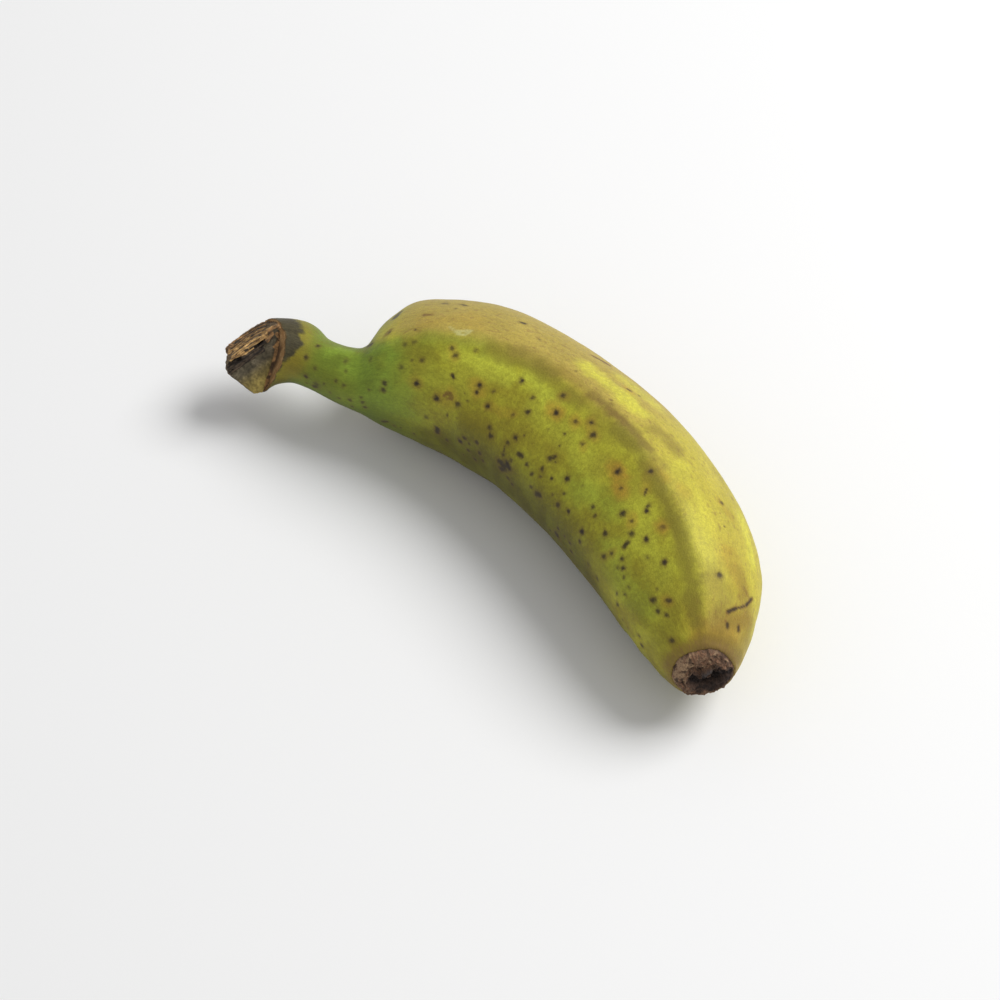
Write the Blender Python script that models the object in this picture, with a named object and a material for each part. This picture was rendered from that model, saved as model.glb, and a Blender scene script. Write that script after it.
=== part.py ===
"""A short, stout, half-ripe banana, picked with its stalk and lying on its side.

The fruit grew as one piece, so it is one solid: the torn end of the stalk, the neck,
the five-ridged body and the corky scar where the blossom fell off. A tube of rings is
lofted along a curved guide line, the end of the stalk is cut to its torn faces, and the
underside is pressed flat where the fruit rests. +Z is up, +X runs from the stalk to
the blossom end, the hollow of the curve faces -Y, and the origin is on the resting
plane, under the middle of the fruit's box. Sizes are in millimetres.
"""

import math
from bisect import bisect_right
from dataclasses import dataclass

import bmesh
import bpy
from mathutils import Matrix, Vector

MM = 0.001


@dataclass(frozen=True)
class Station:
    """One cross-section: where the guide line is, and how far the skin is from it."""

    x: float
    y: float
    outer: float
    inner: float
    depth: float
    ridge: float
    lean: float = 0.0


# From the torn stalk to the blossom end. outer is the reach to the back of the curve,
# inner to its hollow, depth up and down. ridge is how strongly the ridges stand out,
# and lean is how far the section's top leans back towards the stalk, for each mm up.
STATIONS = (
    Station(x=-62.0, y=-24.7, outer=6.4, inner=7.8, depth=7.2, ridge=0.3),
    Station(x=-58.2, y=-18.4, outer=7.5, inner=8.0, depth=7.4, ridge=0.3),
    Station(x=-55.3, y=-15.6, outer=8.2, inner=5.9, depth=6.8, ridge=0.4),
    Station(x=-52.0, y=-13.6, outer=8.4, inner=5.1, depth=6.3, ridge=0.4),
    Station(x=-47.0, y=-12.0, outer=5.9, inner=5.5, depth=5.6, ridge=0.5),
    Station(x=-40.5, y=-9.7, outer=5.3, inner=6.8, depth=6.4, ridge=0.5),
    Station(x=-37.5, y=-8.3, outer=6.8, inner=7.4, depth=7.4, ridge=0.5),
    Station(x=-35.2, y=-7.0, outer=13.8, inner=7.5, depth=9.8, ridge=0.6),
    Station(x=-32.0, y=-5.2, outer=18.0, inner=7.9, depth=12.3, ridge=0.7),
    Station(x=-26.0, y=-1.6, outer=20.1, inner=9.3, depth=15.0, ridge=1.0),
    Station(x=-15.0, y=3.9, outer=20.7, inner=13.1, depth=16.7, ridge=1.0),
    Station(x=-1.0, y=7.5, outer=18.0, inner=16.3, depth=17.0, ridge=1.0),
    Station(x=18.0, y=6.3, outer=17.3, inner=17.5, depth=17.4, ridge=1.0),
    Station(x=37.0, y=0.2, outer=16.6, inner=16.6, depth=16.7, ridge=1.0),
    Station(x=48.6, y=-6.2, outer=14.9, inner=14.7, depth=15.0, ridge=0.9, lean=0.02),
    Station(x=55.0, y=-11.4, outer=11.7, inner=12.3, depth=12.1, ridge=0.7, lean=0.06),
    Station(x=59.3, y=-15.5, outer=8.9, inner=9.2, depth=9.2, ridge=0.4, lean=0.15),
    Station(x=61.4, y=-17.6, outer=6.9, inner=7.2, depth=7.1, ridge=0.2, lean=0.22),
)
# The guide line is level, this far above the surface that the fruit lies on. The
# skin would reach 1.2 mm lower than that surface, and is pressed flat there.
GUIDE_HEIGHT = 16.2

# The five ridges: degrees round the section from the back of the curve, and strength.
RIDGES = ((15, 0.7), (87, 1.0), (159, 0.6), (231, 0.6), (303, 0.7))
RIDGE_LIFT = 0.065
RIDGE_ROUNDING = 0.22

# The blossom scar, as steps past the last station and shares of its reach: a fold in
# the peel, a corky rim, a dark hollow and the stub of the flower in the middle.
SCAR_PROFILE = (
    (0.4, 0.90),
    (0.6, 0.85),
    (1.2, 0.84),
    (1.8, 0.76),
    (2.2, 0.65),
    (2.4, 0.54),
    (1.9, 0.44),
    (1.5, 0.34),
    (1.9, 0.24),
    (2.5, 0.16),
    (2.7, 0.07),
)
# Wrinkles inside the scar: how many go round it, how strong they are, and their turn.
SCAR_FOLDS = ((7, 0.11, 0.4), (11, 0.08, 2.1))

# The torn end of the stalk: flat faces, each a point on it and the way it faces. The
# first two meet in a crest. All of them stop at the rim, a low step in the skin.
CREST_TIP = (-61.1, -24.6, 17.7)
STALK_FACES = {
    "lower": (CREST_TIP, (0.60, -0.51, 0.61)),
    "upper": (CREST_TIP, (-0.63, -0.11, 0.77)),
    "end": ((-63.2, -23.2, 16.2), (-0.75, -0.66, 0.0)),
    "corner": ((-60.5, -25.8, 15.2), (-0.03, -0.90, -0.43)),
}
RIM_POINT = (-54.5, -18.5, 16.3)
RIM_NORMAL = (0.49, 0.73, -0.48)
FACE_REACH = 40.0

# A crack in the lower face, just below the crest, from outside the tip to the rim.
CRACK_START = (-61.2, -28.2, 14.8)
CRACK_END = (-57.6, -16.8, 20.8)
CRACK_DEPTH = 1.4

SIDES = 50
RING_STEP = 2.0

# Linear colour, roughness and metallic value of each finish.
PEEL = ("half_ripe_peel", (0.33, 0.32, 0.04), 0.45)
SCAR = ("corky_blossom_scar", (0.10, 0.06, 0.035), 0.9)
TORN = ("torn_stalk", (0.09, 0.065, 0.035), 0.85)


def guide_lengths():
    """Distance along the guide line to each station, by straight steps."""
    lengths = [0.0]
    for before, after in zip(STATIONS, STATIONS[1:]):
        lengths.append(lengths[-1] + math.hypot(after.x - before.x, after.y - before.y))
    return lengths


LENGTHS = guide_lengths()


def smooth(name, along):
    """A station's named size at any distance along the guide, by a smooth curve."""
    values = [getattr(station, name) for station in STATIONS]
    last = len(values) - 1
    low = min(max(bisect_right(LENGTHS, along) - 1, 0), last - 1)

    def slope(i):
        before, after = max(i - 1, 0), min(i + 1, last)
        return (values[after] - values[before]) / (LENGTHS[after] - LENGTHS[before])

    span = LENGTHS[low + 1] - LENGTHS[low]
    t = (along - LENGTHS[low]) / span
    return (
        (1 + 2 * t) * (1 - t) ** 2 * values[low]
        + t * (1 - t) ** 2 * span * slope(low)
        + t * t * (3 - 2 * t) * values[low + 1]
        + t * t * (t - 1) * span * slope(low + 1)
    )


def guide_frame(along):
    """The guide's point and unit direction; it runs on straight past the last station."""
    end = LENGTHS[-1]
    inside = min(along, end)
    point = Vector((smooth("x", inside), smooth("y", inside), GUIDE_HEIGHT))
    behind, ahead = max(inside - 0.5, 0.0), min(inside + 0.5, end)
    direction = Vector(
        (
            smooth("x", ahead) - smooth("x", behind),
            smooth("y", ahead) - smooth("y", behind),
            0.0,
        )
    ).normalized()
    return point + direction * (along - inside), direction


def ridge_lift(degrees):
    """How much the skin stands out at this angle: 1 on a strong ridge, 0 mid-face."""
    lift = 0.0
    for i, (angle, strength) in enumerate(RIDGES):
        away = (degrees - angle + 180) % 360 - 180
        neighbour = RIDGES[(i + 1) % len(RIDGES) if away > 0 else i - 1][0]
        half_gap = abs((neighbour - angle + 180) % 360 - 180) / 2
        share = abs(away) / half_gap
        if share < 1:
            soft = math.hypot(share, RIDGE_ROUNDING) - RIDGE_ROUNDING
            soft /= math.hypot(1, RIDGE_ROUNDING) - RIDGE_ROUNDING
            lift = strength * (1 - soft) ** 2
    return lift


def skin_point(along, angle, scale=1.0):
    """A point on the skin: angle 0 is the back of the curve, a quarter turn is up."""
    centre, direction = guide_frame(along)
    back = Vector((-direction.y, direction.x, 0.0))
    inside = min(along, LENGTHS[-1])
    reach = smooth("outer" if math.cos(angle) > 0 else "inner", inside)
    lift = 1 + RIDGE_LIFT * smooth("ridge", inside) * ridge_lift(math.degrees(angle))
    across = reach * math.cos(angle) * lift * scale
    rise = smooth("depth", inside) * math.sin(angle) * lift * scale
    leant = -smooth("lean", inside) * rise
    return centre + back * across + direction * leant + Vector((0, 0, rise))


def ring_plan():
    """(distance along, share of the reach) of every ring, stalk to blossom end."""
    count = round(LENGTHS[-1] / RING_STEP)
    rings = [(LENGTHS[-1] * i / count, 1.0) for i in range(count + 1)]
    rings += [(LENGTHS[-1] + step, share) for step, share in SCAR_PROFILE]
    return rings


def lofted_fruit():
    """A tube of unit rings, extruded up Z, with each vertex then moved to the skin."""
    mesh = bmesh.new()
    bmesh.ops.create_circle(mesh, segments=SIDES, radius=1.0)
    rings = ring_plan()
    edges = list(mesh.edges)
    for _ in rings[1:]:
        made = bmesh.ops.extrude_edge_only(mesh, edges=edges)["geom"]
        moved = [item for item in made if isinstance(item, bmesh.types.BMVert)]
        edges = [
            item
            for item in made
            if isinstance(item, bmesh.types.BMEdge)
            and all(end in moved for end in item.verts)
        ]
        bmesh.ops.translate(mesh, verts=moved, vec=(0, 0, 1))
    bmesh.ops.holes_fill(mesh, edges=mesh.edges, sides=0)
    last_of_peel = len(rings) - len(SCAR_PROFILE)
    for face in mesh.faces:
        face.material_index = int(min(v.co.z for v in face.verts) > last_of_peel - 0.5)
    for vertex in mesh.verts:
        angle = math.atan2(vertex.co.y, vertex.co.x)
        along, share = rings[round(vertex.co.z)]
        fold = sum(size * math.sin(n * angle + turn) for n, size, turn in SCAR_FOLDS)
        vertex.co = skin_point(along, angle, share * (1 + (1 - share) * fold))
    bmesh.ops.recalc_face_normals(mesh, faces=mesh.faces)
    return mesh


def cut_flat(mesh, point, normal):
    """Slices off what lies beyond a plane and closes the mesh with a flat face."""
    geometry = mesh.verts[:] + mesh.edges[:] + mesh.faces[:]
    cut = bmesh.ops.bisect_plane(
        mesh, geom=geometry, plane_co=point, plane_no=normal, clear_outer=True
    )["geom_cut"]
    rim = [item for item in cut if isinstance(item, bmesh.types.BMEdge)]
    bmesh.ops.contextual_create(mesh, geom=rim)


def fruit_pressed_flat():
    """The lofted fruit with its underside pressed flat on the resting plane."""
    mesh = lofted_fruit()
    cut_flat(mesh, (0, 0, 0), (0, 0, -1))
    bmesh.ops.recalc_face_normals(mesh, faces=mesh.faces)
    return mesh


def block_inside(faces):
    """A big block round the stalk's end, cut down to the inner side of flat faces."""
    block = bmesh.new()
    placed = Matrix.Translation(RIM_POINT)
    bmesh.ops.create_cube(block, size=2 * FACE_REACH, matrix=placed)
    for point, normal in faces:
        cut_flat(block, point, normal)
    bmesh.ops.recalc_face_normals(block, faces=block.faces)
    return block


def crack_cutter():
    """A three-sided bar along the crack, with one of its edges pointing into the stalk."""
    start, end = Vector(CRACK_START), Vector(CRACK_END)
    run = (end - start).normalized()
    inward = -Vector(STALK_FACES["lower"][1])
    inward = (inward - run * inward.dot(run)).normalized()
    turned = Matrix((inward.cross(run), inward, run)).transposed().to_4x4()
    bar = bmesh.new()
    bmesh.ops.create_cone(
        bar,
        cap_ends=True,
        segments=3,
        radius1=CRACK_DEPTH,
        radius2=CRACK_DEPTH,
        depth=(end - start).length,
        matrix=Matrix.Translation((start + end) / 2) @ turned,
    )
    bmesh.ops.recalc_face_normals(bar, faces=bar.faces)
    return bar


def material(name, colour, roughness):
    """A plain Principled finish."""
    finish = bpy.data.materials.new(name)
    finish.use_nodes = True
    shader = finish.node_tree.nodes["Principled BSDF"]
    shader.inputs["Base Color"].default_value = (*colour, 1.0)
    shader.inputs["Roughness"].default_value = roughness
    shader.inputs["Metallic"].default_value = 0.0
    return finish


def placed_object(name, mesh, finishes):
    """A Blender object in metres, made from a mesh in millimetres."""
    bmesh.ops.scale(mesh, verts=mesh.verts, vec=(MM, MM, MM))
    data = bpy.data.meshes.new(name)
    mesh.to_mesh(data)
    mesh.free()
    for finish in finishes:
        data.materials.append(finish)
    placed = bpy.data.objects.new(name, data)
    bpy.context.scene.collection.objects.link(placed)
    return placed


def cutter_object(name, mesh, finish):
    """A placed object that only cuts, and is never part of the fruit itself."""
    cutter = placed_object(name, mesh, (finish,))
    cutter.hide_render = True
    cutter.display_type = "WIRE"
    return cutter


def cut_by(target, cutter):
    """Cuts one object's shape out of another's, and lines the cut with its finish."""
    cut = target.modifiers.new(cutter.name, "BOOLEAN")
    cut.operation = "DIFFERENCE"
    cut.solver = "EXACT"
    cut.material_mode = "TRANSFER"
    cut.object = cutter


def main():
    for leftover in list(bpy.data.objects):
        bpy.data.objects.remove(leftover)
    peel, scar, torn = (material(*finish) for finish in (PEEL, SCAR, TORN))
    banana = placed_object("banana", fruit_pressed_flat(), (peel, scar))
    kept = cutter_object("torn_end", block_inside(STALK_FACES.values()), torn)
    beyond_rim = block_inside([(RIM_POINT, RIM_NORMAL)])
    removed = cutter_object("beyond_rim", beyond_rim, torn)
    crack = cutter_object("crack", crack_cutter(), torn)
    cut_by(removed, kept)
    cut_by(banana, removed)
    cut_by(banana, crack)
    banana.data.shade_smooth()
    banana.data.set_sharp_from_angle(angle=math.radians(40))


main()
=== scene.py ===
"""The looks of a short, stout, half-ripe banana that lies on its side.

The fruit is one grown piece, shown as three surfaces: the speckled peel, the torn end
of the stalk, and the corky scar where the blossom fell off. Lengths are written in
millimetres and turned into metres as each mesh is finished. +Z is up, +X runs from
the stalk to the blossom end, and the hollow of the curve faces -Y.
"""

import logging
import math
from collections.abc import Sequence
from dataclasses import dataclass
from enum import Enum

import bmesh
import bpy
import numpy as np
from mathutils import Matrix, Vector, noise
from mathutils.bvhtree import BVHTree


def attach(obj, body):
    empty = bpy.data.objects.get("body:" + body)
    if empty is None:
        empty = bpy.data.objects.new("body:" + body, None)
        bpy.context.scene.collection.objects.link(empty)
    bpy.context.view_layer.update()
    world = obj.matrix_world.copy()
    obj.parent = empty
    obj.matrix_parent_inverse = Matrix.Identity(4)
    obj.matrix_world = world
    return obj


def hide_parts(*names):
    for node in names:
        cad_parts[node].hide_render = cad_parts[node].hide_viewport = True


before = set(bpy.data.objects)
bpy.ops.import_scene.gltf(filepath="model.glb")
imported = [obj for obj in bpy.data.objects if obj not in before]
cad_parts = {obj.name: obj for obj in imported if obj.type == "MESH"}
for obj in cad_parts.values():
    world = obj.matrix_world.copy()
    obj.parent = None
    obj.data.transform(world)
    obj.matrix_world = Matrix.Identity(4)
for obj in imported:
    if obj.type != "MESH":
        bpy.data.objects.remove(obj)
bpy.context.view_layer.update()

MM = 0.001
BODY = "root"
NODE = "banana"
LOG = logging.getLogger("banana")

# How fast the finer levels of noise fade, and how much finer each is than the last.
NOISE_FALL = 0.8
NOISE_STEP = 2.1

Colour = tuple[float, float, float]
Pixel = tuple[float, float]
Point = tuple[float, float, float]
Range = tuple[float, float]
Line = Sequence[np.ndarray]
Socket = bpy.types.NodeSocket


def smoothstep(low: float, high: float, value: np.ndarray) -> np.ndarray:
    """A soft step.

    Args:
        low: Value where the step starts.
        high: Value where it ends; it may be below low, for a step down.
        value: Values to step.

    Returns:
        0 at low and 1 at high, smooth between them.
    """
    share = np.clip((value - low) / (high - low), 0.0, 1.0)
    return share * share * (3 - 2 * share)


def band(rise: Range, fall: Range, value: np.ndarray) -> np.ndarray:
    """A soft step up where rise says, and one down where fall says."""
    return smoothstep(*rise, value) * smoothstep(*fall, value)


def unit(vector: Sequence[float]) -> np.ndarray:
    """A vector's direction, with a length of 1."""
    return np.array(vector) / np.linalg.norm(vector)


def roughness_at(points: np.ndarray, waves: float, octaves: int = 3) -> np.ndarray:
    """Smooth random relief.

    Args:
        points: Places to read it, one row each.
        waves: Waves per millimetre.
        octaves: Levels of detail.

    Returns:
        Values of about -1 to 1, one for each point.
    """
    scaled = points * waves
    made = (noise.fractal(Vector(at), NOISE_FALL, NOISE_STEP, octaves) for at in scaled)
    return np.fromiter(made, float, len(scaled))


def line_distance(points: np.ndarray, line: Line) -> np.ndarray:
    """How far points are from a line of straight runs.

    Args:
        points: The points, one row each.
        line: The ends of the runs, in order.

    Returns:
        One distance for each point.
    """
    away = np.full(len(points), np.inf)
    for start, end in zip(line, line[1:]):
        run = end - start
        share = np.clip((points - start) @ run / max(run @ run, 1e-9), 0.0, 1.0)
        gone = np.linalg.norm(points - start - share[:, None] * run, axis=1)
        away = np.minimum(away, gone)
    return away


def angle_of(points: np.ndarray) -> np.ndarray:
    """The angle of each point of a tube round its axis, in degrees."""
    return np.degrees(np.arctan2(points[:, 1], points[:, 0]))


@dataclass(frozen=True)
class Station:
    """One cross-section: where the guide line is, and how far the skin is from it."""

    x: float
    y: float
    outer: float
    inner: float
    depth: float
    ridge: float
    lean: float = 0.0


@dataclass(frozen=True)
class Ridge:
    """One of the fruit's ridges: degrees from the back of the curve, and strength."""

    angle: float
    strength: float


@dataclass(frozen=True)
class FruitForm:
    """The outer form of the fruit, from the torn stalk to the blossom end."""

    stations: tuple[Station, ...] = (
        Station(-62.0, -24.7, 6.4, 7.8, 7.2, 0.3),
        Station(-58.2, -18.4, 7.5, 8.0, 7.4, 0.3),
        Station(-55.3, -15.6, 8.2, 5.9, 6.8, 0.4),
        Station(-52.0, -13.6, 8.4, 5.1, 6.3, 0.4),
        Station(-47.0, -12.0, 5.9, 5.5, 5.6, 0.5),
        Station(-40.5, -9.7, 5.3, 6.8, 6.4, 0.5),
        Station(-37.5, -8.3, 6.8, 7.4, 7.4, 0.5),
        Station(-35.2, -7.0, 13.8, 7.5, 9.8, 0.6),
        Station(-32.0, -5.2, 18.0, 7.9, 12.3, 0.7),
        Station(-26.0, -1.6, 20.1, 9.3, 15.0, 1.0),
        Station(-15.0, 3.9, 20.7, 13.1, 16.7, 1.0),
        Station(-1.0, 7.5, 18.0, 16.3, 17.0, 1.0),
        Station(18.0, 6.3, 17.3, 17.5, 17.4, 1.0),
        Station(37.0, 0.2, 16.6, 16.6, 16.7, 1.0),
        Station(48.6, -6.2, 14.9, 14.7, 15.0, 0.9, 0.02),
        Station(55.0, -11.4, 11.7, 12.3, 12.1, 0.7, 0.06),
        Station(59.3, -15.5, 8.9, 9.2, 9.2, 0.4, 0.15),
        Station(61.4, -17.6, 6.9, 7.2, 7.1, 0.2, 0.22),
    )
    guide_height: float = 16.2
    ridges: tuple[Ridge, ...] = (
        Ridge(15, 0.7),
        Ridge(87, 1.0),
        Ridge(159, 0.6),
        Ridge(231, 0.6),
        Ridge(303, 0.7),
    )
    ridge_lift: float = 0.065
    ridge_rounding: float = 0.22
    rim_point: Point = (-54.5, -18.5, 16.3)
    rim_normal: Point = (0.49, 0.73, -0.48)
    scar_wobble: float = 0.09
    scar_waves: float = 1.4
    scar_level: float = 4.0
    guide_step: float = 0.5
    rim_farthest: float = 25.0
    rim_halvings: int = 24

    def lengths(self) -> np.ndarray:
        """Measures the guide line.

        Returns:
            The distance along it to each station.
        """
        places = np.array([(station.x, station.y) for station in self.stations])
        steps = np.hypot(*np.diff(places, axis=0).T)
        return np.concatenate([[0.0], np.cumsum(steps)])

    def length(self) -> float:
        """The guide line's whole length."""
        return float(self.lengths()[-1])

    def size(self, name: str, along: np.ndarray) -> np.ndarray:
        """A station's named size anywhere on the guide, by a smooth curve.

        Args:
            name: A field of Station.
            along: Distances along the guide.

        Returns:
            The size at each distance.
        """
        values = np.array([getattr(station, name) for station in self.stations])
        lengths = self.lengths()
        last = len(values) - 1
        low = np.clip(np.searchsorted(lengths, along, "right") - 1, 0, last - 1)
        before = np.maximum(np.arange(last + 1) - 1, 0)
        after = np.minimum(np.arange(last + 1) + 1, last)
        slope = (values[after] - values[before]) / (lengths[after] - lengths[before])
        span = lengths[low + 1] - lengths[low]
        t = (along - lengths[low]) / span
        return (
            (1 + 2 * t) * (1 - t) ** 2 * values[low]
            + t * (1 - t) ** 2 * span * slope[low]
            + t * t * (3 - 2 * t) * values[low + 1]
            + t * t * (t - 1) * span * slope[low + 1]
        )

    def guide(self, along: np.ndarray) -> tuple[np.ndarray, np.ndarray]:
        """The guide line, which runs on straight past its last station.

        Args:
            along: Distances along it.

        Returns:
            Its points, and the unit directions in which it runs there.
        """
        inside = np.minimum(along, self.length())
        behind = np.maximum(inside - self.guide_step, 0.0)
        ahead = np.minimum(inside + self.guide_step, self.length())
        level = np.zeros_like(inside)
        run_x = self.size("x", ahead) - self.size("x", behind)
        run_y = self.size("y", ahead) - self.size("y", behind)
        run = np.stack([run_x, run_y, level], axis=-1)
        run /= np.linalg.norm(run, axis=-1, keepdims=True)
        start = [self.size("x", inside), self.size("y", inside), level + self.guide_height]
        return np.stack(start, axis=-1) + run * (along - inside)[..., None], run

    def lift(self, degrees: np.ndarray) -> np.ndarray:
        """How far the skin stands out by its ridges.

        Args:
            degrees: Angles round the section.

        Returns:
            The lift at each angle: 1 on a strong ridge, and 0 midway between two.
        """
        found = np.zeros_like(degrees)
        sides = len(self.ridges)
        for i, ridge in enumerate(self.ridges):
            away = (degrees - ridge.angle + 180) % 360 - 180
            to_next = (self.ridges[(i + 1) % sides].angle - ridge.angle) % 360
            to_last = (ridge.angle - self.ridges[i - 1].angle) % 360
            share = 2 * np.abs(away) / np.where(away > 0, to_next, to_last)
            soft = np.hypot(share, self.ridge_rounding) - self.ridge_rounding
            soft /= math.hypot(1, self.ridge_rounding) - self.ridge_rounding
            found = np.where(share < 1, ridge.strength * (1 - soft) ** 2, found)
        return found

    def skin(
        self, along: np.ndarray, degrees: np.ndarray, share: np.ndarray | float = 1.0
    ) -> np.ndarray:
        """Points on the skin, or inside it.

        Args:
            along: Distances along the guide.
            degrees: Angles round the section: 0 is the back of the curve, 90 is up.
            share: How much of the way out from the guide line the points are.

        Returns:
            One point for each distance and angle.
        """
        inside = np.clip(along, 0.0, self.length())
        centre, run = self.guide(along)
        back = np.stack([-run[..., 1], run[..., 0], np.zeros_like(inside)], axis=-1)
        angle = np.radians(degrees)
        reach = np.where(
            np.cos(angle) > 0, self.size("outer", inside), self.size("inner", inside)
        )
        lift = 1 + self.ridge_lift * self.size("ridge", inside) * self.lift(degrees)
        across = reach * np.cos(angle) * lift * share
        rise = self.size("depth", inside) * np.sin(angle) * lift * share
        leant = -self.size("lean", inside) * rise
        made = centre + back * across[..., None] + run * leant[..., None]
        made[..., 2] += rise
        return made

    def rim_along(self, degrees: np.ndarray) -> np.ndarray:
        """Where the skin begins, on the slanting rim of the torn end.

        Args:
            degrees: Angles round the section.

        Returns:
            The distance along the guide at each angle, found by halving.
        """
        low = np.zeros_like(degrees)
        high = np.full_like(degrees, self.rim_farthest)
        for _ in range(self.rim_halvings):
            middle = (low + high) / 2
            side = (self.skin(middle, degrees) - self.rim_point) @ np.array(self.rim_normal)
            low = np.where(side < 0, middle, low)
            high = np.where(side < 0, high, middle)
        return (low + high) / 2

    def scar_edge(self, degrees: np.ndarray) -> np.ndarray:
        """How uneven the scar's edge is.

        Args:
            degrees: Angles round the section.

        Returns:
            How far out the edge is at each angle, for a mean of 1.
        """
        angle = np.radians(degrees)
        level = np.full_like(angle, self.scar_level)
        place = [self.scar_waves * np.cos(angle), self.scar_waves * np.sin(angle), level]
        return 1 + self.scar_wobble * roughness_at(np.stack(place, axis=-1), 1.0)


FORM = FruitForm()


@dataclass(frozen=True)
class PhotoView:
    """The camera of the photograph: how it looks at the fruit, and its lens.

    Its distance and aim are in millimetres, and nearest, its near limit, in metres.
    """

    azimuth: float = 41.0
    elevation: float = 55.0
    distance: float = 568.55
    aim: Point = (5.0, -13.2, 16.2)
    lens: float = 100.0
    sensor: float = 36.0
    image_side: float = 1000.0
    nearest: float = 0.01

    def axes(self) -> tuple[np.ndarray, np.ndarray, np.ndarray]:
        """Finds the way the camera looks.

        Returns:
            Unit vectors to the camera, to the picture's right and to its top.
        """
        turn, lift = math.radians(self.azimuth), math.radians(self.elevation)
        back = np.array(
            [
                math.sin(turn) * math.cos(lift),
                -math.cos(turn) * math.cos(lift),
                math.sin(lift),
            ]
        )
        right = np.array([math.cos(turn), math.sin(turn), 0.0])
        return back, right, np.cross(back, right)

    def place(self) -> np.ndarray:
        """Where the camera stands."""
        return np.array(self.aim) + self.axes()[0] * self.distance

    def ray(self, pixel: Pixel) -> np.ndarray:
        """The line of sight through a pixel of the photograph.

        Args:
            pixel: The pixel.

        Returns:
            Its unit direction.
        """
        back, right, top = self.axes()
        step = self.sensor / self.lens / self.image_side
        middle = self.image_side / 2
        aimed = right * (pixel[0] - middle) * step + top * (middle - pixel[1]) * step - back
        return aimed / np.linalg.norm(aimed)

    def on_plane(self, pixel: Pixel, point: np.ndarray, normal: np.ndarray) -> np.ndarray:
        """Where a pixel's line of sight meets a plane.

        Args:
            pixel: The pixel.
            point: A point on the plane.
            normal: The way the plane faces.

        Returns:
            The meeting point.
        """
        start, aimed = self.place(), self.ray(pixel)
        return start + aimed * ((point - start) @ normal) / (aimed @ normal)

    def pixel(self) -> float:
        """The size of a pixel at the fruit's middle, in millimetres."""
        return self.distance * self.sensor / self.lens / self.image_side

    def locate(self, tree: BVHTree, pixel: Pixel) -> np.ndarray:
        """The point of a surface that shows at a pixel of the photograph.

        Args:
            tree: The surface, in millimetres.
            pixel: The pixel.

        Returns:
            The point; where the pixel is just off the outline, the nearest one.
        """
        hit = tree.ray_cast(Vector(self.place()), Vector(self.ray(pixel)))[0]
        if hit is None:
            level = np.array([0.0, 0.0, FORM.guide_height])
            near = self.on_plane(pixel, level, np.array([0.0, 0.0, 1.0]))
            hit = tree.find_nearest(Vector(near))[0]
        return np.array(hit)

    def set_up(self) -> None:
        """Makes the camera, and makes it the scene's."""
        data = bpy.data.cameras.new("photo_view")
        data.lens = self.lens
        data.sensor_width = self.sensor
        data.clip_start = self.nearest
        camera = bpy.data.objects.new("photo_view", data)
        bpy.context.scene.collection.objects.link(camera)
        camera.location = Vector(self.place() * MM)
        camera.rotation_mode = "QUATERNION"
        camera.rotation_quaternion = Vector(-self.axes()[0]).to_track_quat("-Z", "Y")
        bpy.context.scene.camera = camera


VIEW = PhotoView()


class Tint(Enum):
    """What a wash of colour on the peel is, by the attribute that holds it."""

    LIME = "wash_lime"
    LEAF = "wash_leaf"
    BROWN = "wash_brown"
    WARM = "wash_warm"
    # Lemon yellow, partly a painted highlight: the bright zone high on the back and along the
    # right outline.
    LIGHT = "wash_lemon_and_highlight"
    # Dark olive on the peel, and painted shade: along the lower edge, beside the ridge and under
    # the neck it darkens where shade falls.
    OLIVE_AND_PAINTED_SHADE = "wash_olive_and_painted_shade"
    RUB = "wash_rub"
    SCUFF = "wash_scuff"
    BRUISED = "wash_bruised"
    PALE = "wash_pale"


@dataclass(frozen=True)
class Wash:
    """A patch or streak of colour along photograph pixels; reach is in millimetres."""

    tint: Tint
    line: tuple[Pixel, ...]
    reach: float
    strength: float
    soft: float = 0.7


@dataclass(frozen=True)
class Speck:
    """A dark speck: its pixel in the photograph, its radius and run, and its depth."""

    x: float
    y: float
    radius: float
    depth: float
    run_x: float = 0.0
    run_y: float = 0.0
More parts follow.
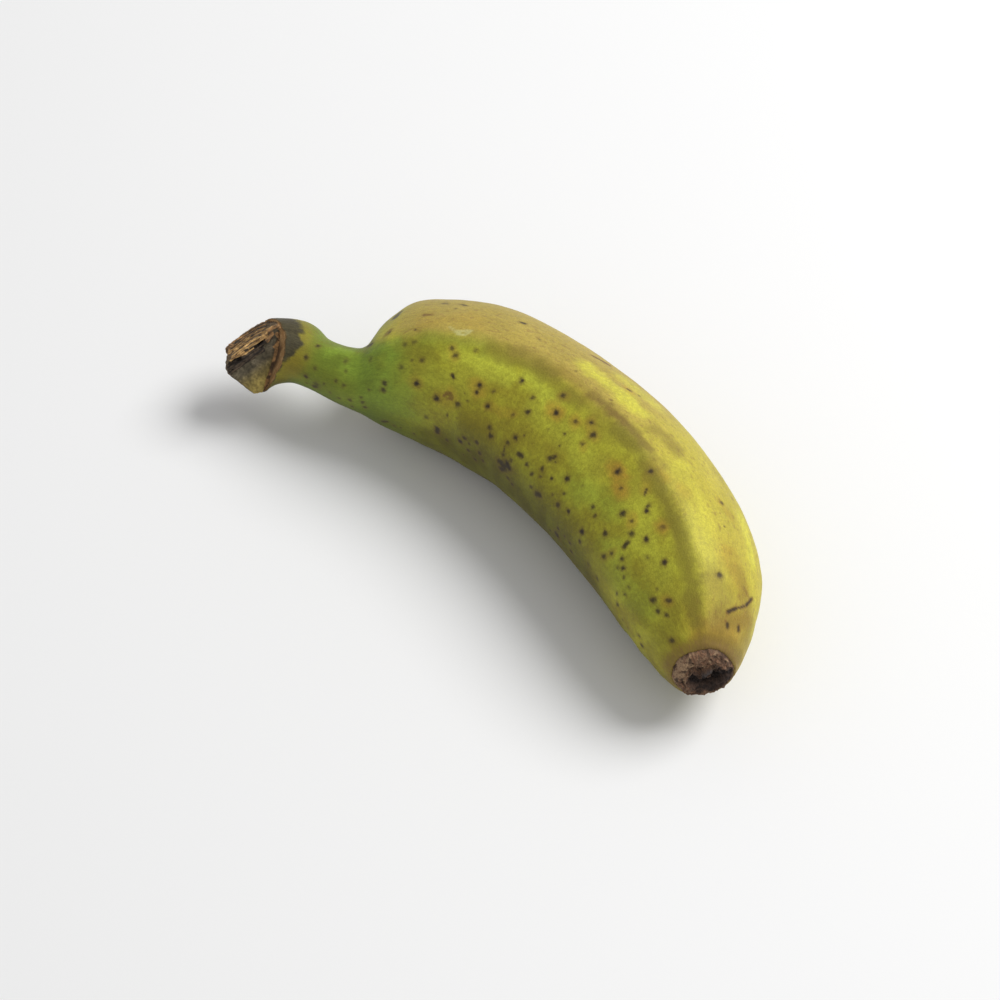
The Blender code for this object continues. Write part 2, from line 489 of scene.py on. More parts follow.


# The tables below were read off the photograph. A wash is its line of pixels, its reach in
# millimetres, its strength and sometimes its softness. A speck is its pixel, its radius in
# pixels, its depth and sometimes its run.
WASH_ROWS = {
    Tint.LIME: (
        (((452, 354), (472, 360), (492, 369), (508, 376)), 2.1, 0.75),
        (((484, 366), (495, 370)), 2.2, 0.95),
        (((430, 372), (446, 386), (466, 380)), 3.0, 0.55),
        (((528, 378), (542, 388), (552, 402)), 2.2, 0.85),
        (((540, 404), (556, 424), (580, 438)), 3.0, 0.5),
        (((582, 448), (594, 468), (592, 490)), 2.8, 0.5),
        (((636, 500), (650, 535), (662, 575)), 3.0, 0.45),
        (((608, 540), (620, 572)), 2.2, 0.4),
        (((384, 366), (408, 366), (410, 388)), 3.0, 0.35, 1.0),
    ),
    Tint.LEAF: (
        (((372, 352), (396, 343)), 1.8, 0.75),
        (((356, 366), (384, 374), (392, 356)), 3.0, 0.8),
        (((350, 388), (384, 402), (402, 396)), 3.0, 0.45),
        (((330, 352), (338, 350), (350, 352)), 1.3, 0.8), (((396, 402), (410, 412)), 2.6, 0.4),
        (((428, 337), (456, 341), (484, 345)), 1.8, 0.45, 1.0),
        (((572, 484), (604, 500), (612, 512)), 2.4, 0.35),
        (((606, 545), (618, 575), (650, 612)), 2.6, 0.3),
    ),
    # Painted shade, with some dark olive patches: these darken the lower edge, the dip beside the
    # ridge and the neck's underside.
    Tint.OLIVE_AND_PAINTED_SHADE: (
        (((426, 336), (456, 340), (490, 345)), 1.5, 0.4, 1.0),
        (((490, 345), (506, 352), (532, 364), (560, 384), (580, 402)), 2.0, 0.75),
        (((616, 428), (640, 452), (654, 478)), 1.9, 0.8),
        (((654, 478), (670, 512), (682, 545), (692, 585), (696, 620)), 1.7, 0.85),
        (((592, 412), (604, 432), (618, 446)), 1.6, 0.35, 1.0),
        (((640, 478), (652, 505)), 1.8, 0.25, 1.0),
        (((668, 585), (674, 610), (668, 630), (650, 646)), 2.4, 0.35, 1.0),
        (((596, 548), (606, 578)), 2.2, 0.4, 1.0),
        (((456, 452), (480, 465), (504, 484), (528, 506), (548, 530)), 2.0, 0.4, 1.0),
        (((300, 372), (330, 382), (345, 392)), 2.5, 0.25, 1.0),
    ),
    Tint.BROWN: (
        (((468, 384), (498, 398), (512, 416)), 3.0, 0.22),
        (((480, 420), (512, 428), (548, 448)), 2.6, 0.25),
        (((404, 342), (420, 362)), 2.4, 0.3), (((604, 466), (622, 490)), 2.6, 0.25),
        (((292, 362), (295, 368)), 2.0, 0.4), (((590, 585), (620, 630), (650, 665)), 2.8, 0.3),
        (((668, 668), (678, 654), (694, 645), (710, 643)), 1.9, 0.75),
    ),
    Tint.WARM: (
        (((555, 412), (557, 414)), 1.7, 0.75), (((575, 421), (576, 423)), 1.4, 0.55),
        (((590, 422), (593, 436)), 1.2, 0.45), (((616, 470), (619, 474)), 1.8, 0.75),
        (((620, 487), (621, 490)), 1.6, 0.7), (((650, 471), (647, 490)), 1.1, 0.45),
        (((661, 526), (664, 528)), 1.4, 0.7), (((631, 518), (632, 523)), 1.2, 0.5),
        (((563, 395), (566, 396)), 1.1, 0.6), (((583, 443), (584, 446)), 1.1, 0.4),
        (((476, 386), (479, 393)), 1.4, 0.5), (((440, 396), (450, 398)), 1.6, 0.4),
        (((415, 383), (418, 384)), 1.4, 0.35), (((452, 348), (455, 356)), 1.2, 0.4),
        (((487, 406), (513, 415)), 1.0, 0.3), (((604, 556), (613, 553)), 1.1, 0.35),
        (((666, 600), (668, 602)), 1.1, 0.45), (((682, 488), (686, 492)), 1.5, 0.5),
        (((650, 464), (664, 478)), 1.4, 0.45), (((720, 502), (732, 519)), 1.0, 0.35),
        (((727, 552), (734, 574), (744, 590)), 2.6, 0.5), (((626, 388), (630, 392)), 1.1, 0.5),
        (((700, 625), (725, 632), (745, 620)), 3.0, 0.55),
        (((430, 322), (470, 318)), 3.0, 0.2), (((736, 577), (737, 581)), 0.8, 0.5, 1.0),
        (((728, 563), (731, 568)), 1.0, 0.5, 1.0), (((744, 595), (742, 600)), 0.7, 0.45, 1.0),
        (((560, 372), (584, 394)), 2.0, 0.25, 1.0),
    ),
    # Partly painted highlight: the brightest zone high on the back and strips along the right
    # outline are made lemon yellow.
    Tint.LIGHT: (
        (((588, 368), (612, 386), (640, 410)), 2.3, 0.75, 0.9),
        (((622, 378), (655, 404)), 2.2, 0.45, 0.9),
        (((680, 470), (702, 520), (706, 560)), 2.6, 0.4), (((740, 515), (753, 565)), 1.4, 0.6),
        (((724, 576), (732, 592)), 1.6, 0.35, 1.0), (((376, 334), (392, 338)), 1.5, 0.3, 1.0),
        (((690, 560), (700, 592)), 2.2, 0.35, 1.0), (((748, 580), (752, 600)), 1.2, 0.3, 1.0),
    ),
    Tint.RUB: (
        (((716, 470), (735, 540), (722, 590)), 3.0, 0.18),
        (((520, 350), (560, 372), (590, 392)), 1.9, 0.45),
        (((590, 393), (612, 409), (632, 429), (650, 450)), 1.15, 0.8),
        (((600, 400), (614, 412), (626, 424)), 0.7, 1.0, 0.5),
        (((654, 429), (667, 437), (677, 449)), 1.9, 0.62, 1.0),
        (((672, 443), (679, 450)), 1.2, 0.6, 1.0), (((644, 446), (664, 466)), 1.3, 0.4),
        (((706, 640), (726, 648), (738, 658)), 1.9, 0.7),
        (((715, 626), (735, 620), (750, 622), (746, 640)), 2.0, 0.45),
        (((716, 580), (722, 600), (712, 625)), 2.6, 0.5, 0.9),
        (((738, 572), (744, 590), (748, 625)), 1.9, 0.45, 0.9),
        (((684, 476), (692, 500)), 1.6, 0.25, 1.0),
    ),
    Tint.SCUFF: (
        (((386, 335), (391, 330)), 0.7, 0.7), (((426, 315), (431, 315)), 0.6, 0.7),
        (((444, 395), (447, 393), (451, 395), (451, 399)), 0.35, 0.8, 0.4),
        (((447, 399), (450, 399)), 0.3, 0.6, 0.4), (((593, 356), (609, 365)), 0.6, 0.95, 0.5),
        (((728, 612), (736, 609)), 0.48, 0.9, 0.5),
        (((736, 609), (746, 606)), 0.26, 0.85, 0.5),
        (((747, 604), (752, 599)), 0.42, 0.85, 0.5),
        (((743, 574), (744, 578), (746, 582)), 0.35, 0.4, 0.8),
        (((739, 596), (740, 598)), 0.4, 0.4, 0.8), (((732, 617), (738, 619)), 0.6, 0.3, 1.0),
        (((726, 621), (728, 626)), 0.36, 0.65), (((738, 625), (740, 630)), 0.28, 0.6),
        (((706, 610), (722, 614), (746, 616)), 2.6, 0.24, 1.0),
        (((586, 400), (600, 411), (614, 416)), 1.6, 0.22, 1.0),
        (((744, 588), (749, 598)), 0.5, 0.5),
        (((404, 333), (412, 329), (419, 331)), 0.35, 0.5),
    ),
    Tint.BRUISED: (
        (((394, 318), (401, 312)), 1.0, 0.9, 0.35),
    ),
    Tint.PALE: (
        (((450, 327), (455, 331)), 0.25, 0.4),
        (((456, 332), (461, 335), (468, 334), (470, 331)), 0.32, 0.75),
        (((459, 331), (466, 331)), 0.3, 0.7),
    ),
}
WASHES = tuple(Wash(tint, *row) for tint, rows in WASH_ROWS.items() for row in rows)

SPECK_ROWS = (
    (443.5, 303.6, 2.3, 0.5, 3, 0), (462.7, 304.6, 2.0, 0.7, 3, 1), (455.7, 308.7, 1.6, 0.5),
    (521.4, 322.5, 2.0, 0.9, 3, 1), (539.6, 339.6, 1.7, 0.5), (389.6, 332.3, 1.5, 0.8),
    (415.5, 329.5, 1.2, 0.8), (371.5, 341.9, 1.6, 0.7), (367.9, 346.3, 1.7, 0.9, 4, -2),
    (370.5, 359.3, 2.4, 0.4), (404.9, 344.7, 2.4, 0.45), (414.2, 341.5, 2.4, 0.45),
    (452.1, 348.2, 2.0, 0.65), (455.3, 355.5, 2.4, 0.75), (475.7, 350.5, 1.8, 0.6),
    (422.1, 360.4, 2.0, 0.65), (411.7, 360.6, 1.4, 0.5), (401.8, 367.1, 2.4, 0.5),
    (452.5, 374.8, 1.5, 1.0, 1, 3), (416.5, 383.6, 2.7, 1.0), (384.5, 383.1, 2.6, 0.85),
    (383.3, 389.9, 2.4, 0.85), (368.9, 389.9, 1.3, 0.6), (479.3, 385.6, 2.5, 1.0),
    (476.7, 392.5, 2.0, 1.0), (493.9, 391.4, 1.5, 0.6), (521.7, 381.0, 2.3, 1.0),
    (532.8, 397.6, 2.0, 0.8), (436.7, 398.6, 2.8, 1.0), (457.8, 404.4, 2.4, 0.8),
    (467.4, 400.5, 1.3, 0.5), (464.8, 393.3, 0.9, 0.5), (487.6, 406.5, 2.5, 1.0),
    (527.5, 412.3, 2.5, 0.9), (513.1, 414.8, 1.7, 0.6), (556.0, 412.8, 2.7, 1.0),
    (426.7, 417.4, 2.5, 0.5), (447.4, 415.2, 1.4, 0.6), (456.6, 417.8, 1.0, 0.5),
    (437.4, 428.5, 2.5, 0.9, 0, 4), (489.5, 427.7, 2.3, 0.8), (490.7, 435.9, 2.7, 0.9),
    (383.0, 421.6, 2.0, 0.8, 4, 0), (393.8, 425.4, 1.8, 0.8), (414.2, 433.7, 1.8, 0.8),
    (400.8, 427.7, 1.1, 0.8), (447.1, 440.3, 2.0, 0.6), (460.1, 441.4, 2.9, 0.95),
    (464.6, 438.2, 2.2, 0.9), (476.7, 442.2, 2.3, 0.85), (469.3, 443.9, 1.7, 0.7),
    (468.4, 450.3, 2.3, 0.8), (479.5, 453.2, 2.5, 0.85), (463.6, 454.7, 1.2, 0.8),
    (475.2, 459.6, 2.2, 0.9), (483.1, 460.9, 2.0, 0.8), (515.4, 437.8, 2.4, 0.9),
    (507.6, 442.9, 2.1, 0.8), (523.9, 435.6, 1.1, 0.7), (548.8, 429.2, 1.2, 0.5),
    (504.1, 447.0, 0.9, 0.7, 0, 5), (503.5, 454.7, 2.1, 0.8), (499.5, 461.5, 3.2, 0.9, 2, 2),
    (507.0, 463.5, 3.4, 0.95, 2, 4), (501.0, 468.5, 3.0, 0.9, 3, 1),
    (518.0, 454.0, 2.2, 0.9, 4, 2), (526.5, 464.3, 2.1, 0.8), (550.1, 458.8, 2.5, 0.9),
    (554.8, 457.0, 2.1, 0.9), (555.2, 462.4, 1.2, 0.7), (542.4, 467.5, 1.5, 0.7, 0, 3),
    (531.6, 473.9, 2.1, 0.8), (540.5, 476.4, 1.5, 0.7), (552.0, 478.5, 1.9, 0.9),
    (508.0, 477.7, 2.4, 0.7), (362.6, 402.4, 1.9, 0.7), (365.1, 407.2, 2.1, 0.75),
    (575.7, 371.3, 1.4, 0.6), (596.4, 358.0, 0.8, 1.0, 11, 6), (627.5, 389.0, 1.4, 0.8, 3, 2),
    (639.2, 395.7, 1.4, 0.6), (611.3, 400.0, 1.2, 0.6), (563.2, 395.4, 2.3, 0.85),
    (575.7, 421.6, 2.0, 0.8), (591.7, 422.4, 2.2, 0.9), (593.1, 435.2, 2.8, 1.0),
    (582.3, 443.9, 1.9, 0.7), (564.4, 434.0, 1.3, 0.7), (559.4, 445.9, 1.0, 0.6),
    (617.9, 471.3, 2.9, 1.0), (620.9, 487.9, 1.8, 0.7), (650.8, 471.3, 2.4, 0.9),
    (567.0, 479.1, 2.6, 1.0), (541.7, 469.2, 1.7, 0.8), (582.3, 486.1, 1.1, 0.5),
    (646.1, 489.5, 1.2, 0.8, -1, 5), (552.4, 494.4, 1.5, 0.8), (563.7, 493.5, 1.8, 0.7),
    (557.7, 505.1, 2.4, 0.9), (568.5, 511.4, 2.1, 0.9), (592.7, 506.8, 1.9, 0.8),
    (595.2, 516.1, 1.8, 0.8), (622.6, 513.6, 2.7, 1.0), (631.5, 521.1, 1.7, 0.7),
    (648.3, 506.1, 1.9, 0.9), (646.5, 510.6, 2.3, 1.0), (662.7, 527.0, 2.3, 0.55),
    (721.9, 502.8, 1.9, 0.8), (724.6, 526.4, 1.0, 0.7), (581.8, 531.7, 2.8, 1.0),
    (558.2, 528.5, 2.0, 0.8), (550.3, 530.5, 1.8, 0.8), (605.2, 533.7, 2.6, 0.9),
    (631.5, 533.8, 2.4, 0.9), (646.1, 539.3, 2.6, 1.0), (564.5, 536.3, 1.6, 0.8),
    (569.9, 543.0, 2.0, 0.8), (579.8, 541.3, 2.0, 0.9), (545.0, 540.5, 3.4, 0.9, 0, 3),
    (624.5, 546.5, 2.0, 0.9, 3, -4), (603.8, 556.4, 2.6, 0.8), (611.3, 553.3, 2.1, 0.7),
    (621.7, 558.8, 1.9, 0.8), (622.9, 568.0, 2.1, 0.9), (617.6, 568.0, 1.5, 0.7),
    (623.7, 577.6, 1.7, 0.6), (647.0, 557.5, 1.8, 0.5), (664.0, 562.5, 2.4, 1.0),
    (560.5, 558.5, 2.6, 0.9), (588.1, 563.8, 2.4, 0.6), (597.2, 578.8, 2.4, 0.5),
    (719.6, 575.0, 2.8, 0.9), (628.7, 587.1, 1.9, 0.5), (657.4, 589.1, 1.7, 0.4),
    (616.8, 593.7, 1.7, 0.6), (625.1, 594.5, 1.7, 0.7), (617.4, 604.5, 2.5, 0.7),
    (653.3, 600.3, 2.7, 0.9), (667.0, 600.0, 1.8, 0.8, 3, 1), (657.7, 611.1, 2.4, 0.8),
    (666.5, 615.3, 2.0, 0.8), (728.0, 611.5, 1.5, 0.9, 8, -3),
    (736.0, 608.6, 0.9, 0.9, 10, -3), (746.0, 605.5, 1.3, 0.9, 5, -6),
    (727.4, 624.0, 1.6, 0.8, 0, 3), (738.5, 627.0, 1.5, 0.8, 0, 4), (671.8, 640.6, 2.4, 0.8),
    (639.0, 636.0, 1.9, 0.6), (642.0, 645.6, 2.3, 0.8), (622.9, 620.2, 1.4, 0.6),
    (627.9, 627.7, 1.4, 0.5), (318.0, 346.0, 2.0, 0.8), (306.0, 357.0, 2.0, 0.8, 0, 1),
    (315.0, 368.5, 1.9, 0.5), (306.0, 376.5, 2.0, 0.9), (303.0, 388.0, 1.4, 0.7),
    (314.0, 386.5, 2.0, 0.8, 2, 0), (330.0, 392.5, 1.6, 0.5), (346.0, 371.0, 1.5, 0.4),
    (346.0, 361.0, 2.2, 0.5), (336.0, 381.0, 1.7, 0.6), (343.5, 385.5, 1.9, 0.6),
    (316.5, 385.0, 3.4, 0.6), (339.0, 398.0, 1.6, 0.6), (350.0, 400.0, 2.0, 0.7),
    (352.0, 406.5, 1.8, 0.6), (361.0, 397.5, 1.4, 0.6), (324.0, 383.5, 1.3, 0.5),
    (504.0, 466.0, 5.0, 0.9), (511.0, 460.0, 1.8, 0.7), (536.0, 494.0, 2.6, 0.85, 4, 1),
    (531.0, 487.0, 1.8, 0.7), (512.0, 484.0, 2.2, 0.7),
)
SPECKS = tuple(Speck(*row) for row in SPECK_ROWS)


@dataclass(frozen=True)
class SkinMarks:
    """Everything that is placed on the peel: washes, and specks seen and unseen."""

    unseen_specks: int = 330
    unseen_washes: int = 70
    tries: int = 20
    stalk_margin: float = 16.0
    end_margin: float = 4.0
    crowd_angle: float = -100.0
    crowd_reach: Range = (80.0, 20.0)
    crowd_share: Range = (0.25, 0.75)
    probe_along: float = 0.3
    probe_round: float = 1.0
    speck_radius: Range = (0.22, 0.55)
    speck_depth: Range = (0.4, 1.0)
    farthest: float = 4.0
    wash_kinds: tuple[Tint, ...] = (Tint.LIME, Tint.BROWN, Tint.WARM, Tint.OLIVE_AND_PAINTED_SHADE, Tint.RUB)
    wash_reach: Range = (0.8, 3.0)
    wash_strength: Range = (0.25, 0.6)
    wash_length: Range = (1.0, 9.0)
    wash_turn: Range = (-8.0, 8.0)
    ragged: float = 0.9
    fine_waves: float = 0.5
    fine_most: float = 0.7
    broad_waves: float = 0.17
    broad_most: float = 0.35
    broad_shift: float = 70.0
    seed: int = 23

    def seen(self, along: np.ndarray, degrees: np.ndarray) -> np.ndarray:
        """Whether the skin faces the photograph's camera.

        Args:
            along: Distances along the guide.
            degrees: Angles round the section.

        Returns:
            True or False for each place.
        """
        place = FORM.skin(along, degrees)
        step_along = FORM.skin(along + self.probe_along, degrees) - place
        step_round = FORM.skin(along, degrees + self.probe_round) - place
        facing = np.cross(step_round, step_along)
        return np.sum(facing * (VIEW.place() - place), axis=1) > 0

    def unseen(self, random: np.random.Generator, count: int) -> np.ndarray:
        """Places on the sides that the photograph doesn't show.

        Args:
            random: Where the chances come from.
            count: How many places.

        Returns:
            Each one's distance along the guide and its angle, a row each.
        """
        tried = self.tries * count
        along = random.uniform(self.stalk_margin, FORM.length() - self.end_margin, tried)
        degrees = random.uniform(-180.0, 180.0, tried)
        near = smoothstep(*self.crowd_reach, np.abs(degrees - self.crowd_angle))
        crowd = self.crowd_share[0] + self.crowd_share[1] * near
        kept = (random.uniform(size=tried) < crowd) & ~self.seen(along, degrees)
        return np.stack([along[kept], degrees[kept]], axis=-1)[:count]

    def unseen_lines(self) -> list[tuple[Wash, list[np.ndarray]]]:
        """Draws the washes of the unseen sides.

        Returns:
            Each wash with its line on the skin.
        """
        random = np.random.default_rng(self.seed + 1)
        made = []
        for along, degrees in self.unseen(random, self.unseen_washes):
            tint = self.wash_kinds[random.integers(len(self.wash_kinds))]
            reach = random.uniform(*self.wash_reach)
            wash = Wash(tint, (), reach, random.uniform(*self.wash_strength), 1.0)
            ends = np.array([along, along + random.uniform(*self.wash_length)])
            turned = np.array([degrees, degrees + random.uniform(*self.wash_turn)])
            made.append((wash, list(FORM.skin(ends, turned))))
        return made

    def paint(self, surface: "Surface", points: np.ndarray) -> None:
        """Keeps how strongly each tint lies on each point of the peel, 0 to 1.

        Args:
            surface: The peel, in millimetres.
            points: Its points.
        """
        tree = surface.tree()
        lines = [(wash, [VIEW.locate(tree, at) for at in wash.line]) for wash in WASHES]
        lines += self.unseen_lines()
        fine = roughness_at(points, self.fine_waves) * self.ragged
        broad = roughness_at(points + self.broad_shift, self.broad_waves) * self.ragged
        held = {tint: np.zeros(len(points)) for tint in Tint}
        for wash, line in lines:
            share = line_distance(points, line) / wash.reach
            uneven = fine * min(1.0, self.fine_most / wash.reach)
            share += uneven + broad * min(1.0, self.broad_most * wash.reach)
            laid = wash.strength * smoothstep(1 + wash.soft, 1 - wash.soft, share)
            held[wash.tint] = np.maximum(held[wash.tint], laid)
        for tint, laid in held.items():
            surface.hold(tint.value, laid)

    def fleck(self, surface: "Surface", points: np.ndarray) -> None:
        """Keeps how far each point is from a speck, in its radii, and how dark that is.

        Args:
            surface: The peel, in millimetres.
            points: Its points.
        """
        tree = surface.tree()
        marks = []
        for speck in SPECKS:
            start = VIEW.locate(tree, (speck.x, speck.y))
            end = VIEW.locate(tree, (speck.x + speck.run_x, speck.y + speck.run_y))
            marks.append(([start, end], speck.radius * VIEW.pixel(), speck.depth))
        random = np.random.default_rng(self.seed)
        for along, degrees in self.unseen(random, self.unseen_specks):
            place = FORM.skin(np.array([along]), np.array([degrees]))[0]
            radius = random.uniform(*self.speck_radius)
            marks.append(([place, place], radius, random.uniform(*self.speck_depth)))
        distance = np.full(len(points), self.farthest)
        dark = np.zeros(len(points))
        for line, radius, depth in marks:
            away = line_distance(points, line) / radius
            nearer = away < distance
            distance = np.where(nearer, away, distance)
            dark = np.where(nearer, depth, dark)
        surface.hold("speck_distance", distance)
        surface.hold("speck_depth", dark)


class NodeSheet:
    """A material's node tree, with a method for each kind of node that it needs."""

    first_colour = 6
    second_colour = 7
    mixed_colour = 2

    def __init__(self, name: str) -> None:
        """Starts a material with a Principled shader.

        Args:
            name: The material's name.
        """
        self.material = bpy.data.materials.new(name)
        self.material.use_nodes = True
        self.tree = self.material.node_tree
        self.shader = self.tree.nodes["Principled BSDF"]

    def feed(self, socket: Socket, source: object) -> None:
        """Links a socket to another, or sets it to a plain value.

        Args:
            socket: The socket to feed.
            source: A socket, a number or a colour.
        """
        if isinstance(source, Socket):
            self.tree.links.new(source, socket)
        elif isinstance(source, tuple) and socket.type == "RGBA":
            socket.default_value = (*source, 1.0)
        else:
            socket.default_value = source

    def add(self, kind: str, inputs: dict[str | int, object], **options: str) -> bpy.types.Node:
        """Adds a node.

        Args:
            kind: Its type, without the words that every shader node's type starts with.
            inputs: What feeds its sockets, by their names or numbers.
            options: Its settings.

        Returns:
            The node.
        """
        node = self.tree.nodes.new("ShaderNode" + kind)
        for name, option in options.items():
            setattr(node, name, option)
        for name, source in inputs.items():
            self.feed(node.inputs[name], source)
        return node

    def field(self, name: str, output: str = "Fac") -> Socket:
        """What the mesh holds for each of its points: a number, or a position."""
        return self.add("Attribute", {}, attribute_name=name).outputs[output]

    def object_place(self) -> Socket:
        """The point's place on the object, in metres."""
        return self.add("TexCoord", {}).outputs["Object"]

    def stretched(self, place: Socket, scale: Point) -> Socket:
        """A position scaled by its own factor along each axis."""
        return self.add("Mapping", {"Scale": scale, "Vector": place}).outputs["Vector"]

    def noise(self, place: Socket, scale: float, detail: float) -> Socket:
        """Cloudy noise of 0 to 1 at a position."""
        inputs = {"Scale": scale, "Detail": detail, "Vector": place}
        return self.add("TexNoise", inputs).outputs["Fac"]

    def math(self, operation: str, *values: object) -> Socket:
        """A sum, product or other operation on one or more numbers."""
        return self.add("Math", dict(enumerate(values)), operation=operation).outputs[0]

    def times(self, value: object, factor: object) -> Socket:
        """A number multiplied by another."""
        return self.math("MULTIPLY", value, factor)

    def plus(self, value: object, other: object, share: float = 1.0) -> Socket:
        """A number with another, or a share of it, added."""
        return self.math("ADD", value, other if share == 1.0 else self.times(other, share))

    def swing(self, clouds: Socket, size: float) -> Socket:
        """Noise of 0 to 1 turned into a swing about 0, of the given size."""
        return self.times(self.math("SUBTRACT", clouds, 0.5), size)

    def step(
        self, value: object, low: float, high: float, start: float = 0.0, end: float = 1.0
    ) -> Socket:
        """A soft step of a number.

        Args:
            value: The number.
            low: Where the step starts.
            high: Where it ends; it may be below low.
            start: The result at low.
            end: The result at high.

        Returns:
            The stepped number.
        """
        limits = (high, low, end, start) if low > high else (low, high, start, end)
        names = ("From Min", "From Max", "To Min", "To Max")
        inputs = {"Value": value, **dict(zip(names, limits))}
        return self.add("MapRange", inputs, interpolation_type="SMOOTHSTEP").outputs["Result"]

    def mix(self, share: object, first: object, second: object) -> Socket:
        """The first colour turning into the second as the share goes from 0 to 1."""
        inputs = {"Factor": share, self.first_colour: first, self.second_colour: second}
        return self.add("Mix", inputs, data_type="RGBA").outputs[self.mixed_colour]

    def overlay(
        self, colour: Socket, paint: object, name: str, swing: Socket, limits: tuple[float, ...]
    ) -> Socket:
        """Lays a paint where the mesh says, with an uneven edge.

        Args:
            colour: The colour under it.
            paint: The colour laid over that.
            name: The field that says where.
            swing: What makes the edge uneven.
            limits: The step that the two are put through.

        Returns:
            The colour with the paint on it.
        """
        return self.mix(self.step(self.plus(self.field(name), swing), *limits), colour, paint)

    def scaled(self, colour: object, factor: object) -> Socket:
        """A colour made lighter or darker by a factor."""
        inputs = {0: colour, "Scale": factor}
        return self.add("VectorMath", inputs, operation="SCALE").outputs[0]

    def bump(self, height: object, distance: float) -> None:
        """Fine relief, of a height from 0 to 1 that stands for a distance in metres."""
        node = self.add("Bump", {"Distance": distance, "Height": height})
        self.feed(self.shader.inputs["Normal"], node.outputs["Normal"])

    def finish(self, colour: object, roughness: object, specular: float) -> bpy.types.Material:
        """Feeds the shader.

        Args:
            colour: The surface's colour.
            roughness: How matte it is.
            specular: How strongly it reflects.

        Returns:
            The finished material.
        """
        self.feed(self.shader.inputs["Base Color"], colour)
        self.feed(self.shader.inputs["Roughness"], roughness)
        self.shader.inputs["Specular IOR Level"].default_value = specular
        return self.material


